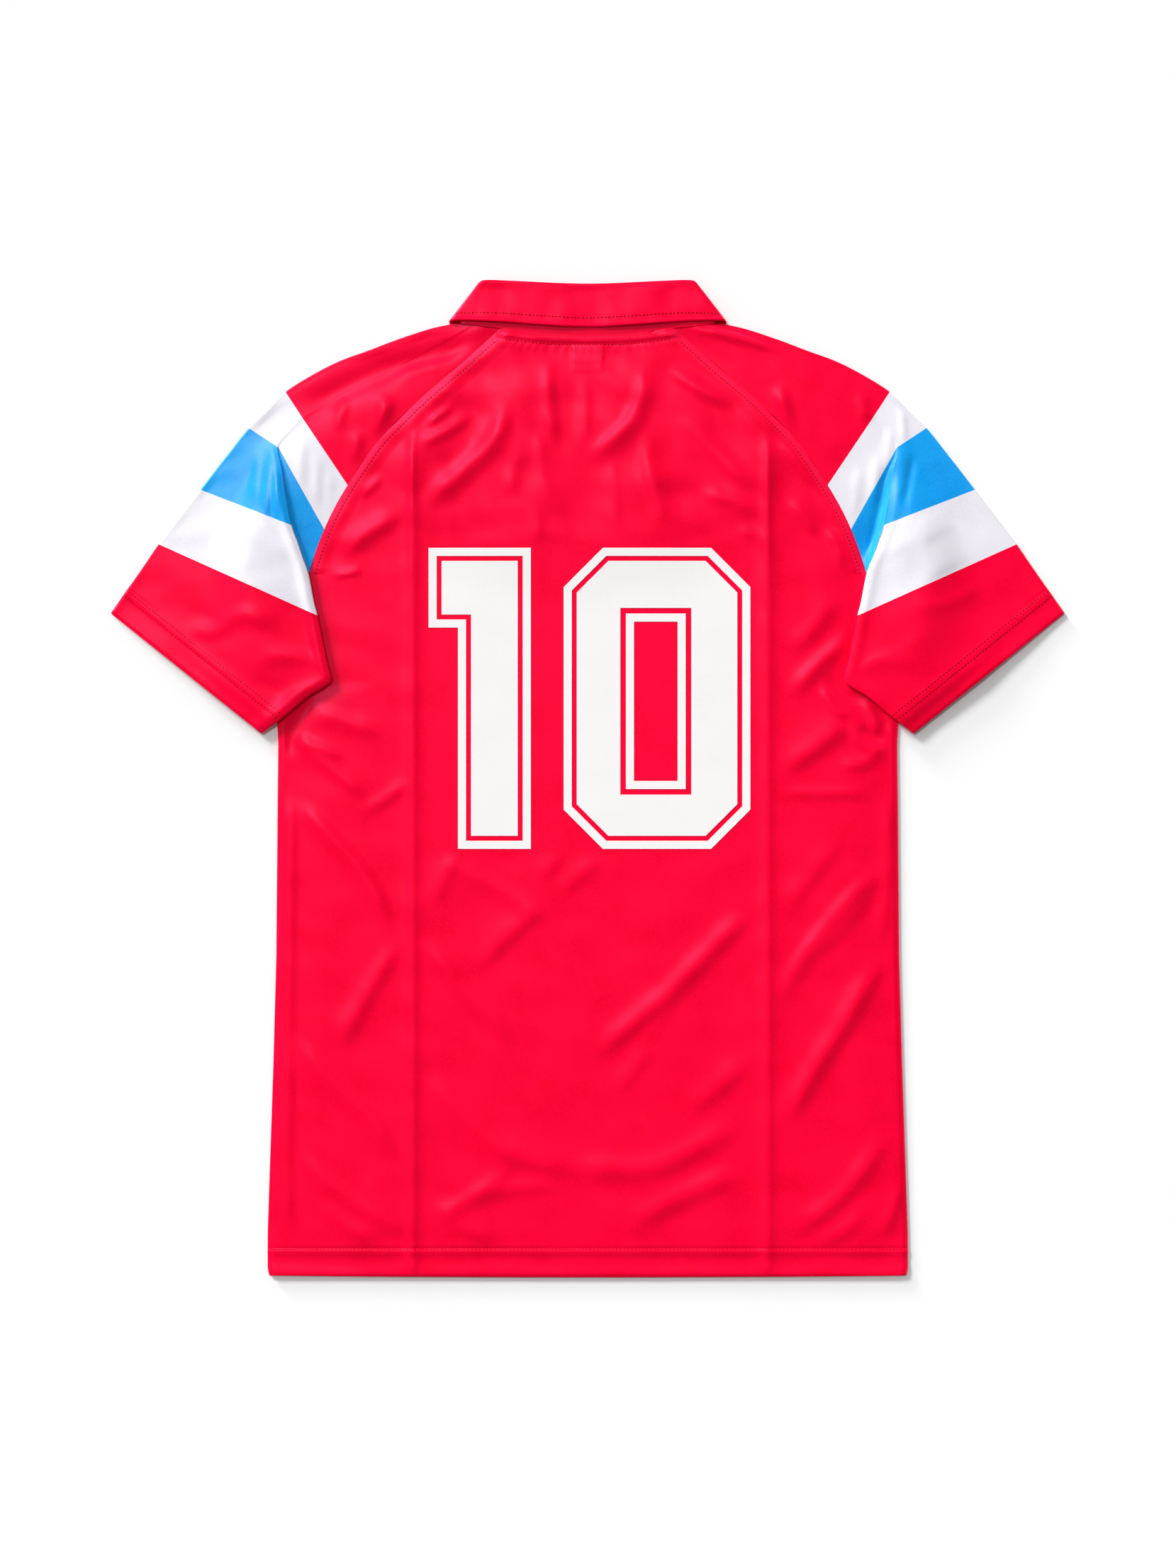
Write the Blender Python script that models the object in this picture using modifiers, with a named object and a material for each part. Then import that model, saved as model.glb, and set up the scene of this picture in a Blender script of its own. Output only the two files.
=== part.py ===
"""A short-sleeved football jersey with raglan sleeves and a fold-over collar, laid flat
on its front, so that its back is on top.

Written for Blender 4.5, in metres and +Z up. All the sizes below are in millimetres,
and MM turns them into metres. A plan point is (out, up): out is its distance from the
centre line, the same on the left and the right, and up is its height above the hem.
Each piece of cloth is a wall around a middle surface, which is a grid of rows of
points, and the layers lie LAYER apart, middle to middle.
"""

import math

import bmesh
import bpy
import numpy as np

MM = 0.001

# Driving dimensions
LENGTH = 787.4  # hem to the collar's top fold
WALL = 1.0  # the cloth
LAYER = 1.5  # from the middle of one layer to the middle of the next
SEAM_GAP = 0.6  # between the middles of two pieces' edges at a seam
EDGE_GAP = 0.3  # between the back's and the front's edges at the sides and the hem
FOLD_RADIUS = LAYER / 2
WELD = 0.01  # points closer than this are one point
HEM_DEPTH = 22.0
HEM_CORNER = 6.7  # the height at which the hem's corner begins to round
COLLAR_THICKNESS = 3 * LAYER  # stand and leaf, twice each, middle to middle
LABEL_SIZE = (24.0, 20.0)
LABEL_TOP = 735.0
LABEL_PARTS = 4

FRONT_MID = WALL / 2
BACK_MID = FRONT_MID + LAYER
RING_MID = FRONT_MID + COLLAR_THICKNESS / 2

# Plan curves of the left half, each from its upper end down. Columns: out, up
RAGLAN = [
    (68.9, 748.7),
    (88.5, 725.8),
    (101.9, 716.2),
    (129.4, 695.5),
    (148.4, 677.0),
    (164.6, 660.8),
    (177.0, 643.5),
    (189.3, 625.0),
    (199.5, 607.5),
    (207.8, 590.2),
    (215.0, 571.5),
    (220.1, 555.5),  # from here on it is hidden below the sleeve
    (262.6, 541.0),  # the armpit
]
RAGLAN_TURN = 11
SIDE_SEAM = [
    (262.6, 541.0),
    (253.2, 505.0),
    (246.4, 462.0),
    (244.2, 420.6),
    (244.7, 378.6),
    (245.8, 252.6),
    (248.1, 168.6),
    (250.6, 95.0),
    (252.6, 34.2),
    (252.6, 8.0),
    (251.4, 1.5),
]
BACK_NECK = [(0.0, 743.7), (34.2, 744.8), (68.9, 748.7)]
FRONT_NECK = [(0.0, 657.0), (24.3, 668.7), (50.8, 683.6), (66.2, 696.5), (88.5, 725.8)]

# The left sleeve, a row for each section from the neck to the cuff. overarm is its outer
# fold, flap the line where its underside comes out over the body, both (out, up). step is
# how far the flap stands above the seam. back and front place the section's two ends: up
# to the armpit as stations on RAGLAN, and from there on as heights on the side seam.
SLEEVE_ROWS = [
    # name, overarm, flap, step, back, front
    ("neck", (105.8, 752.2), (91.0, 750.6), 0.0, 0.03, 1.03),
    ("", (124.9, 748.2), (110.4, 739.2), 0.0, 1.0, 1.6),
    ("", (150.6, 739.8), (137.0, 725.6), 0.0, 2.5, 2.7),
    ("", (173.0, 731.4), (158.6, 711.5), 0.0, 3.5, 3.5),
    ("", (196.0, 723.0), (182.0, 700.9), 0.0, 4.5, 4.5),
    ("", (217.3, 712.3), (203.6, 689.9), 0.0, 5.7, 5.7),
    ("white", (238.6, 698.9), (224.3, 677.0), 0.0, 7.0, 7.0),
    ("", (252.6, 685.4), (235.0, 666.5), 0.0, 8.0, 8.0),
    ("blue", (267.7, 670.3), (243.9, 654.6), 0.3, 9.0, 9.0),
    ("", (280.6, 654.1), (240.6, 637.0), 1.2, 9.4, 9.4),
    ("", (292.9, 638.4), (237.2, 613.5), 2.2, 9.8, 9.8),
    ("white", (305.8, 621.6), (233.2, 593.0), 2.8, 10.2, 10.2),
    ("", (312.5, 612.6), (228.2, 579.0), 3.0, 10.6, 10.6),
    ("", (317.5, 606.5), (223.9, 566.0), 3.0, 10.93, 10.93),
    ("tip", (320.9, 602.0), (220.1, 555.5), 3.0, 11.0, 11.0),
    ("armpit", (332.4, 586.8), (215.4, 531.8), 3.0, 541.0, 541.0),
    ("red", (338.8, 578.5), (212.8, 521.9), 3.0, 522.0, 522.0),
    ("", (348.3, 564.5), (208.9, 503.0), 3.0, 504.0, 504.0),
    ("", (354.5, 555.5), (205.0, 483.3), 3.0, 488.0, 488.0),
    ("", (358.4, 549.9), (202.7, 469.3), 3.0, 474.0, 474.0),
    ("", (361.2, 546.0), (218.6, 459.6), 3.0, 462.0, 462.0),
    ("hem", (364.1, 542.1), (239.1, 442.4), 3.0, 451.0, 451.0),
    ("", (368.6, 535.6), (246.2, 437.0), 3.0, 444.0, 444.0),
    ("", (372.2, 530.4), (251.8, 432.8), 1.5, 438.0, 438.0),
    ("cuff", (376.5, 524.2), (257.0, 429.0), 0.8, 434.0, 434.0),
]

# The left half of the collar, from the centre back over the side to the centre front. A
# section runs from the seam over the fold to the leaf's edge, all (out, up). turn is its
# angle round the flattened neck: 90 on the back, 0 at the side and -90 on the front.
COLLAR_ROWS = [
    # turn, seam, fold, edge
    (90, (0.0, 743.7), (0.0, 784.0), (0.0, 749.8)),
    (90, (14.0, 743.9), (14.0, 784.2), (15.0, 750.1)),
    (90, (34.2, 744.8), (32.0, 784.9), (34.0, 751.2)),
    (90, (52.0, 746.6), (50.0, 785.8), (56.0, 752.8)),
    (90, (68.9, 748.7), (66.0, 786.5), (79.0, 754.3)),
    (90, (87.0, 750.7), (77.0, 786.9), (98.0, 754.8)),
    (80, (98.6, 752.0), (83.0, 786.4), (106.3, 754.6)),
    (45, (101.4, 753.0), (85.4, 785.2), (108.6, 754.2)),
    (0, (102.0, 753.1), (86.0, 783.9), (109.4, 753.9)),
    (-45, (101.4, 751.4), (85.4, 782.6), (109.2, 753.5)),
    (-80, (100.4, 748.8), (84.4, 780.8), (108.9, 752.0)),
    (-90, (97.2, 741.5), (80.0, 772.5), (108.4, 742.0)),
    (-90, (88.5, 725.8), (66.5, 751.0), (103.5, 712.0)),
    (-90, (66.2, 696.5), (45.6, 721.5), (89.6, 678.0)),
    (-90, (50.8, 683.6), (32.6, 705.0), (79.5, 660.0)),
    (-90, (24.3, 668.7), (15.4, 685.5), (65.4, 640.8)),
    (-90, (2.2, 658.1), (2.2, 672.6), (52.6, 627.8)),
]

# Folds of the back. A fold runs from start to end in (x, up), with x to the right, and
# is width wide. Its height is above the layer, so that a hollow's is below nought.
BACK_FOLDS = [
    # start, end, width, height
    ((232, 261), (153, 130), 24, 2.4),
    ((238, 251), (158, 108), 22, -1.4),
    ((-148, 271), (-192, 208), 24, 2.0),
    ((-148, 248), (-188, 172), 22, -1.2),
    ((121, 297), (55, 232), 26, 1.6),
    ((130, 274), (12, 182), 24, -1.3),
    ((239, 130), (157, 37), 26, 2.0),
    ((236, 107), (167, 34), 20, -1.2),
    ((-119, 159), (-44, 100), 26, 1.8),
    ((-44, 100), (72, 104), 26, 1.8),
    ((72, 104), (124, 130), 26, 1.6),
    ((-90, 107), (23, 77), 22, -1.2),
    ((23, 77), (108, 113), 22, -1.2),
    ((121, 97), (29, 48), 22, 1.4),
    ((-217, 182), (-158, 123), 24, 1.6),
    ((-211, 67), (-162, 28), 22, 1.4),
    ((-76, 697), (-129, 621), 26, 2.0),
    ((-132, 598), (-63, 660), 22, -1.3),
    ((-194, 578), (-145, 614), 22, 1.6),
    ((44, 723), (2, 644), 26, 2.2),
    ((54, 718), (72, 598), 28, -1.3),
    ((39, 641), (55, 591), 22, 1.4),
    ((121, 595), (142, 581), 20, 1.2),
    ((188, 501), (160, 467), 22, 1.8),
    ((-222, 424), (-171, 378), 24, 1.6),
    ((197, 407), (228, 415), 18, 1.2),
]
PRESS_CREASES = (-138.3, 142.0)  # the lines where the jersey was folded to be packed
PRESS_CREASE_TOP = 640.0
PRESS_CREASE_FADE = 60.0
PRESS_CREASE_HEIGHT = 1.0
PRESS_CREASE_WIDTH = 9.0
BACK_SWELL = 1.4  # how far the back's middle lies above its edges
EDGE_FADE = 40.0  # from the sides and the hem to where the swell and the folds are whole
NECK_EDGE = 745.0  # the back is down on its layer again at its neckline
NECK_FADE = 50.0
DROP_WIDTH = 6.0  # the strip along the back's edge that comes down to the front
SIDE_ROLL_HEIGHT = 1.2
SIDE_ROLL_IN = 5.0  # from the side to the roll's crest
SIDE_ROLL_WIDTH = 8.0
SIDE_ROLL_TOP = 425.0  # the roll ends below the sleeve
SIDE_ROLL_FOOT = 30.0
SLEEVE_SWELL = 2.0
# Where a sleeve lies on the back, the back is flat: from this far out, between these heights
UNDER_SLEEVE_OUT = (182.0, 198.0)
UNDER_SLEEVE_UP = (420.0, 600.0)
UNDER_SLEEVE_FADE = 20.0

# The collar lies under the front and lifts all the cloth round the neck by one layer.
NECK_MIDDLE = 706.0
NECK_LIFT_REACH = (146.0, 112.0)
NECK_LIFT_FADE = 1.6


def smooth(t):
    """0 below t = 0, 1 above t = 1, and an even S between."""
    t = min(max(t, 0.0), 1.0)
    return t * t * (3 - 2 * t)


def mix(a, b, t):
    return tuple(p + (q - p) * t for p, q in zip(a, b))


def station(points, s):
    """The plan point at station s of a curve, where station 2 is its third point."""
    k = min(int(s), len(points) - 2)
    t = s - k
    a, b = np.array(points[k]), np.array(points[k + 1])
    before = np.array(points[k - 1]) if k > 0 else 2 * a - b
    after = np.array(points[k + 2]) if k + 2 < len(points) else 2 * b - a
    m, n = (b - before) / 2, (after - a) / 2
    hermite = (
        (2 * t**3 - 3 * t**2 + 1) * a
        + (t**3 - 2 * t**2 + t) * m
        + (3 * t**2 - 2 * t**3) * b
        + (t**3 - t**2) * n
    )
    return tuple(hermite)


def raglan(s, offset=0.0):
    """The raglan seam bends smoothly to its turn below the sleeve, then runs straight.

    A positive offset moves the point to the sleeve's side of the seam."""
    if s <= RAGLAN_TURN:
        visible = RAGLAN[: RAGLAN_TURN + 1]
        point, near = station(visible, s), station(visible, max(s - 0.05, 0))
        after = station(visible, min(s + 0.05, RAGLAN_TURN))
    else:
        near, after = RAGLAN[RAGLAN_TURN], RAGLAN[RAGLAN_TURN + 1]
        point = mix(near, after, s - RAGLAN_TURN)
    along = (after[0] - near[0], after[1] - near[1])
    size = math.hypot(*along) / offset if offset else math.inf
    return (point[0] - along[1] / size, point[1] + along[0] / size)


def side(up):
    """How far out the side seam is at this height."""
    outs, ups = zip(*SIDE_SEAM)
    return float(np.interp(-up, -np.array(ups), outs))


def neck_lift(x, up):
    wide, high = NECK_LIFT_REACH
    q = math.hypot(x / wide, (up - NECK_MIDDLE) / high)
    return LAYER * (1 - smooth((q - 1) / (NECK_LIFT_FADE - 1)))


def fold_height(x, up, start, end, width, height):
    """A fold's height at a point: a bell across it, fading out over a width at each end."""
    ax, ay = end[0] - start[0], end[1] - start[1]
    length = math.hypot(ax, ay)
    along = ((x - start[0]) * ax + (up - start[1]) * ay) / length
    across = ((x - start[0]) * ay - (up - start[1]) * ax) / length
    fade = smooth(along / width + 0.5) * smooth((length - along) / width + 0.5)
    return height * fade * math.exp(-((2 * across / width) ** 2))


def back_height(x, up):
    """The middle of the back panel. It lies flat where a sleeve lies on it."""
    out = abs(x)
    edge = side(up)
    inside = smooth((edge - out) / EDGE_FADE) * smooth(up / EDGE_FADE)
    inside *= smooth((NECK_EDGE - up) / NECK_FADE)
    near, far = UNDER_SLEEVE_OUT
    low, high = UNDER_SLEEVE_UP
    under_sleeve = smooth((out - near) / (far - near)) * smooth((up - low) / UNDER_SLEEVE_FADE)
    under_sleeve *= smooth((high - up) / UNDER_SLEEVE_FADE)
    folds = BACK_SWELL
    for fold in BACK_FOLDS:
        folds += fold_height(x, up, *fold)
    for crease in PRESS_CREASES:
        bell = math.exp(-(((x - crease) / PRESS_CREASE_WIDTH) ** 2))
        folds += PRESS_CREASE_HEIGHT * bell * smooth((PRESS_CREASE_TOP - up) / PRESS_CREASE_FADE)
    height = max(folds, 0.0) * inside * (1 - under_sleeve)
    roll = math.exp(-(((edge - SIDE_ROLL_IN - out) / SIDE_ROLL_WIDTH) ** 2))
    roll *= smooth((edge - out) / SIDE_ROLL_IN)
    roll *= smooth((SIDE_ROLL_TOP - up) / UNDER_SLEEVE_FADE) * smooth(up / SIDE_ROLL_FOOT)
    edge_drop = (LAYER - WALL - EDGE_GAP) * (1 - smooth((edge - out) / DROP_WIDTH))
    return BACK_MID + neck_lift(x, up) + height + SIDE_ROLL_HEIGHT * roll - edge_drop


def front_height(x, up):
    return FRONT_MID + neck_lift(x, up)


def cloth_material(name, colour):
    material = bpy.data.materials.new(name)
    material.use_nodes = True
    shader = material.node_tree.nodes["Principled BSDF"]
    shader.inputs["Base Color"].default_value = (*colour, 1)
    shader.inputs["Roughness"].default_value = 0.55
    material.diffuse_color = (*colour, 1)
    return material


def add_grid(bm, rows, face_material):
    """A grid of faces through rows of (x, up, z). face_material gives a face's slot."""
    last_row, last_column = len(rows) - 1, len(rows[0]) - 1
    made = bmesh.ops.create_grid(bm, x_segments=last_column, y_segments=last_row, size=0.5)
    place = {}
    for vertex in made["verts"]:
        column = round((vertex.co.x + 0.5) * last_column)
        row = round((vertex.co.y + 0.5) * last_row)
        place[vertex] = (row, column)
    for face in {face for vertex in place for face in vertex.link_faces}:
        row = min(place[v][0] for v in face.verts)
        column = min(place[v][1] for v in face.verts)
        face.material_index = face_material(row, column)
    for vertex, (row, column) in place.items():
        x, up, z = rows[row][column]
        vertex.co = (x * MM, (up - LENGTH / 2) * MM, z * MM)


def cloth(name, grids, materials, face_material=lambda grid, row, column: 0):
    """An object whose middle surface is one or more grids of points, made into a wall.

    Points that coincide are welded, also those of two grids."""
    bm = bmesh.new()
    for grid, rows in enumerate(grids):
        add_grid(bm, rows, lambda row, column: face_material(grid, row, column))
    bmesh.ops.remove_doubles(bm, verts=bm.verts, dist=WELD * MM)
    bmesh.ops.recalc_face_normals(bm, faces=bm.faces)
    mesh = bpy.data.meshes.new(name)
    bm.to_mesh(mesh)
    bm.free()
    mesh.shade_smooth()
    for material in materials:
        mesh.materials.append(material)
    piece = bpy.data.objects.new(name, mesh)
    jersey.objects.link(piece)
    wall = piece.modifiers.new("wall", "SOLIDIFY")
    wall.thickness = WALL * MM
    wall.offset = 0
    return piece


# Columns of the panels, as x. The outer ones keep their distance from the panel's edge.
BACK_INNER = [-150, -138.3, -128, -107, -86, -64, -42, -21, 0, 21, 42, 64, 86, 108, 130, 142, 152]
BACK_EDGE = [0, 5, 11, 20, 38, 58, 78]
FRONT_INNER = [-150, -115, -55, 0, 55, 115, 150]
FRONT_EDGE = [0, 24, 58]
INNER_HALF = 150.0
NARROW_HALF = 200.0  # a row narrower than this on each side has all its columns drawn in
EDGE_ROOM = 0.86  # the edge columns take at most this share of the room beside the inner ones
NECK_ROWS = 6  # so many rows down the neckline's curve has gone


def columns(half, inner, edge):
    """The x of each column of a row that reaches from -half to half."""
    limit = INNER_HALF if half >= NARROW_HALF else INNER_HALF * half / NARROW_HALF
    middle = [x * limit / INNER_HALF for x in inner]
    room = half - max(abs(middle[0]), middle[-1])
    inset = [e * min(1.0, EDGE_ROOM * room / edge[-1]) for e in edge]
    return [i - half for i in inset] + middle + [half - i for i in reversed(inset)]


def panel_rows(stations, neck, ups, height, inner, edge):
    """Rows from the neckline down along the raglan seam, then down the side seam.

    Each row of the raglan part keeps less of the neckline's curve than the last."""
    neck_outs, neck_ups = zip(*neck)
    neck_half = neck_outs[-1]
    rows = []
    for k, s in enumerate(stations):
        edge_out, edge_up = raglan(s, -SEAM_GAP / 2)
        keep = 1 - smooth(k / NECK_ROWS)
        row = []
        for x in columns(edge_out, inner, edge):
            t = abs(x) / edge_out
            dip = float(np.interp(t * neck_half, neck_outs, neck_ups)) - neck_ups[-1]
            up = edge_up + dip * keep
            gap = SEAM_GAP if k == 0 else 0.0
            row.append((x, up - gap, height(x, up)))
        rows.append(row)
    hem_up = SIDE_SEAM[-1][1]
    for up in ups:
        row = []
        half = side(up)
        for x in columns(half, inner, edge):
            sag = hem_up * (1 - (x / half) ** 2) * smooth(1 - up / HEM_DEPTH)
            row.append((x, up - sag, height(x, up)))
        rows.append(row)
    return rows


def body_heights(spacing):
    """Row heights from the armpit to the hem, about this far apart, then the hem's own."""
    top = RAGLAN[-1][1]
    count = round((top - HEM_DEPTH) / spacing)
    ups = [top - (top - HEM_DEPTH) * k / count for k in range(count + 1)]
    return ups + [HEM_DEPTH / 2, HEM_CORNER, SIDE_SEAM[-1][1]]


def make_back():
    stations = [0, 1, 2.5, 3.5, 4.5, 5.7, 7, 8, 9, 9.8, 10.6, 11, 11.5]
    rows = panel_rows(stations, BACK_NECK, body_heights(21), back_height, BACK_INNER, BACK_EDGE)
    return cloth("back", [rows], [RED])


def make_front():
    stations = [1, 1.6, 2.7, 3.5, 4.5, 5.7, 7, 8, 9, 10.2, 11, 11.5]
    rows = panel_rows(
        stations, FRONT_NECK, body_heights(43), front_height, FRONT_INNER, FRONT_EDGE
    )
    return cloth("front", [rows], [RED])


# Columns of a sleeve's section, as shares of the way along each stretch.
BOTTOM_SHARES = [0, 0.06, 0.25, 0.5, 0.75, 0.95]  # from the front seam to the overarm fold
TOP_SHARES = [0.05, 0.18, 0.32, 0.46, 0.6, 0.74, 0.87, 0.96]  # from there to the flap
FOOT_SHARES = [0.3, 0.65, 0.93, 1]  # from the flap's foot to the back seam
TIP_LIFT_FROM = 10.0  # the station from which the seam rises over the back to its turn
ARMPIT_CLEARANCE = 3.0  # from the body's side to the sleeve's underarm seam
HIDDEN_SEAM_END = 11.95  # the last station of the hidden seam, next to the armpit
FLAP_RISE_START = 0.45  # the sleeve begins to rise here on its way to the flap's full height
RISE_END_OUT = 2.0  # it has risen this far outside the seam that it covers
CUFF_SEAM_IN = 14.0  # from the sleeve's inner fold to that seam, clear of the body
RAMP = (5.0, 10.0)  # how far outside the body's side the cloth comes down to the floor
UNDERARM_RISE = 1.0  # the bottom's next point is this much further up than the underarm seam
FLAT_LEAN = 0.4  # above the step the top's outer edge leans this far down to the seam's height
STEP_FACE = 0.9  # the share of the step that its face takes
STEP_FOOT_IN = 1.4  # the face's foot lies this far inside the flap's line
FOLD_OVER_LEAST = 2.0  # where the flap lies further than this on the back, its underside
OVER_SIDE = 0.5  # stays on it, up to this far inside the back's edge


def on_body(out, up):
    """The height of cloth that lies on the back, and comes down to the floor beside it."""
    near, far = RAMP
    down = min(max((out - side(up) - near) / (far - near), 0.0), 1.0)
    return BACK_MID + LAYER - down * 2 * LAYER


def inward(point, target, distance):
    """The point moved this far towards target."""
    reach = math.dist(point, target)
    return mix(point, target, distance / reach)


def sleeve_section(row, hand, folded):
    """One section of a sleeve, from the front seam under and over to the back seam.

    hand is -1 on the wearer's left and 1 on the right. A folded section comes back under
    itself at the flap, and lies on the back panel there."""
    name, overarm, flap, step, back, front = row
    closed = back > len(RAGLAN)
    if closed:
        seam = (side(back) + ARMPIT_CLEARANCE, back)
        if seam[0] < flap[0] + CUFF_SEAM_IN:
            seam = inward(flap, overarm, CUFF_SEAM_IN)
        front_end = back_end = seam
    else:
        front_end = raglan(front, SEAM_GAP / 2)
        back_end = raglan(HIDDEN_SEAM_END if folded else back, SEAM_GAP / 2)
    edge, over = inward(overarm, flap, WALL / 2), inward(overarm, flap, WALL / 2 + FOLD_RADIUS)
    points = []
    for share in BOTTOM_SHARES:
        out, up = mix(front_end, over, share)
        points.append((out, up, FRONT_MID + neck_lift(out, up)))
    if closed:
        points[0] = (*seam, on_body(*seam))
        floor_out = seam[0] + RAMP[1] - ARMPIT_CLEARANCE
        points[1] = (floor_out, seam[1] + UNDERARM_RISE, FRONT_MID)
    low = FRONT_MID + neck_lift(*edge)
    points += [(*over, low), (*edge, low + FOLD_RADIUS), (*over, low + LAYER)]

    rim, top_end = inward(flap, overarm, WALL / 2), inward(flap, overarm, WALL / 2 + FOLD_RADIUS)
    foot_height = back_height(hand * back_end[0], back_end[1])
    foot_height += LAYER * smooth((back - TIP_LIFT_FROM) / (RAGLAN_TURN - TIP_LIFT_FROM))
    full = min(1.0, (overarm[0] - back_end[0] - RISE_END_OUT) / (overarm[0] - flap[0]))
    start = FLAP_RISE_START * full
    lean = FLAT_LEAN if step == 0 else 0.0
    for share in TOP_SHARES:
        out, up = mix(over, top_end, share)
        height = BACK_MID + neck_lift(out, up) + step * smooth((share - start) / (full - start))
        height += (foot_height - height) * lean * smooth(share)
        height += SLEEVE_SWELL * math.sin(math.pi * share) ** 2
        points.append((out, up, height))
    crest = BACK_MID + neck_lift(*flap) + step
    crest += (foot_height - crest) * lean
    if folded:
        foot = on_body(*flap)
        crest = max(crest, foot + LAYER)
        foot_start = top_end
    else:
        foot = max(crest - step * STEP_FACE, foot_height)
        foot_start = inward(flap, back_end, min(STEP_FOOT_IN, math.dist(flap, back_end) / 3))
    points.append((*top_end, crest))
    points.append((*rim, (crest + foot) / 2))
    points.append((*foot_start, foot))
    for share in FOOT_SHARES:
        out, up = mix(foot_start, back_end, share)
        if closed and share < 1 and flap[0] < side(up) - FOLD_OVER_LEAST:
            out = min(out, side(up) - OVER_SIDE)
        height = on_body(out, up) if folded else foot + (foot_height - foot) * share
        points.append((out, up, height))
    if closed:
        points[-1] = points[0]
    return [(hand * out, up, z) for out, up, z in points]


def make_sleeve(name, hand):
    """Two grids that meet in the section at the flap's tip, where the seam goes under."""
    names = [row[0] for row in SLEEVE_ROWS]
    tip, blue = names.index("tip"), names.index("blue")
    above = [sleeve_section(row, hand, False) for row in SLEEVE_ROWS[: tip + 1]]
    below = [sleeve_section(row, hand, True) for row in SLEEVE_ROWS[tip:]]
    rim_column = len(below[0]) - len(FOOT_SHARES) - 2
    joined = below[0][: rim_column + 1]
    above[-1] = joined + joined[-1:] * (len(FOOT_SHARES) + 1)
    slots = {"neck": 0, "white": 1, "blue": 2, "red": 0}
    starts = [(k, slots[name]) for k, name in enumerate(names) if name in slots]

    def band(grid, row, column):
        row += grid * tip
        if column >= rim_column and blue <= row < tip:
            return slots["blue"]
        return [slot for k, slot in starts if k <= row][-1]

    return cloth(name, [above, below], [RED, WHITE, BLUE], band)


STAND_SHARES = [0, 0.5, 0.94]
LEAF_SHARES = [0.06, 0.35, 0.68, 1]
FOLD_ANGLES = [150, 90, 30]


def collar_section(row, hand):
    """From the seam up the stand, over the fold and down the leaf to its edge."""
    turn, seam, fold, edge = row
    angle = math.radians(turn)
    level, sideways = math.sin(angle), math.cos(angle)
    stand_radius, leaf_radius = LAYER / 2, COLLAR_THICKNESS / 2
    fold_radius = (stand_radius + leaf_radius) / 2
    top = inward(fold, seam, WALL / 2 + FOLD_RADIUS)
    points = []
    for share in STAND_SHARES:
        out, up = mix(seam, top, share)
        points.append((out, up, stand_radius))
    rise = (top[0] - seam[0], top[1] - seam[1])
    reach = math.hypot(*rise)
    for degrees in FOLD_ANGLES:
        a = math.radians(degrees)
        radius = fold_radius + FOLD_RADIUS * math.cos(a)
        lift = FOLD_RADIUS * math.sin(a) / reach
        points.append((top[0] + rise[0] * lift, top[1] + rise[1] * lift, radius))
    for share in LEAF_SHARES:
        out, up = mix(top, edge, share)
        points.append((out, up, leaf_radius))
    return [
        (hand * (out + (radius - leaf_radius) * sideways), up, RING_MID + radius * level)
        for out, up, radius in points
    ]


def make_collar():
    left = [collar_section(row, -1) for row in reversed(COLLAR_ROWS)]
    right = [collar_section(row, 1) for row in COLLAR_ROWS[1:]]
    return cloth("collar", [left + right], [RED])


def make_label():
    """A plain label inside the back, a little below it."""
    wide, long = LABEL_SIZE
    shares = [k / LABEL_PARTS for k in range(LABEL_PARTS + 1)]
    rows = [
        [
            (x, up, back_height(x, up) - WALL - SEAM_GAP)
            for x in (wide * (share - 0.5) for share in shares)
        ]
        for up in (LABEL_TOP - long * share for share in shares)
    ]
    return cloth("neck_label", [rows], [LABEL_CLOTH])


for old in list(bpy.data.objects):
    bpy.data.objects.remove(old)
jersey = bpy.data.collections.new("football_jersey")
bpy.context.scene.collection.children.link(jersey)
RED = cloth_material("red_knit", (0.93, 0.004, 0.036))
WHITE = cloth_material("white_knit", (0.88, 0.88, 0.93))
BLUE = cloth_material("blue_knit", (0.03, 0.42, 0.92))
LABEL_CLOTH = cloth_material("label_cloth", (0.8, 0.8, 0.8))
make_back()
make_front()
make_sleeve("sleeve_left", -1)
make_sleeve("sleeve_right", 1)
make_collar()
make_label()
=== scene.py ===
"""The looks of a football jersey that lies flat on its front, its back on top.

All the sizes below are in millimetres, and MM turns them into metres. A plan point is
(x, up): x is to the right of the centre line and up is the height above the hem. Where a
table says "out" for x, it is the distance from the centre line, the same on both sides.
Cloth is a wall round a middle surface, a grid of points that follows the CAD's form and
adds the creases, the seams and the hems. Sewing and the number are pieces of their own.
"""

import math

import bmesh
import bpy
import numpy as np
from mathutils.geometry import delaunay_2d_cdt
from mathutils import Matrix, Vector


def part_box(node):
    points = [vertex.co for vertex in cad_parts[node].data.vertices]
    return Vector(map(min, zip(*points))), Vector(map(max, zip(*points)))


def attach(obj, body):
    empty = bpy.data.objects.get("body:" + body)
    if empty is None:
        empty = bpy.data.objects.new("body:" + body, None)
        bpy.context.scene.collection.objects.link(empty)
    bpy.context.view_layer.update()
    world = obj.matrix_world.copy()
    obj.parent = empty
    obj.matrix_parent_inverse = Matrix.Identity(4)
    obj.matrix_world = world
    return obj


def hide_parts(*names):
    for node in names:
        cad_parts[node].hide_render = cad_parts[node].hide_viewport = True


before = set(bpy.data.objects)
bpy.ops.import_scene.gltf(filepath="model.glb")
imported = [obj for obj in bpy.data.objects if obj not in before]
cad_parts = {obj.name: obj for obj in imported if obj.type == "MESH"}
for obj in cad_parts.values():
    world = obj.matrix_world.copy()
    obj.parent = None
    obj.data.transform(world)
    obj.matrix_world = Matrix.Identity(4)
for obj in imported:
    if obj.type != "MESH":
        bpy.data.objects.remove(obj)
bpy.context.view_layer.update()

MM = 0.001

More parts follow.
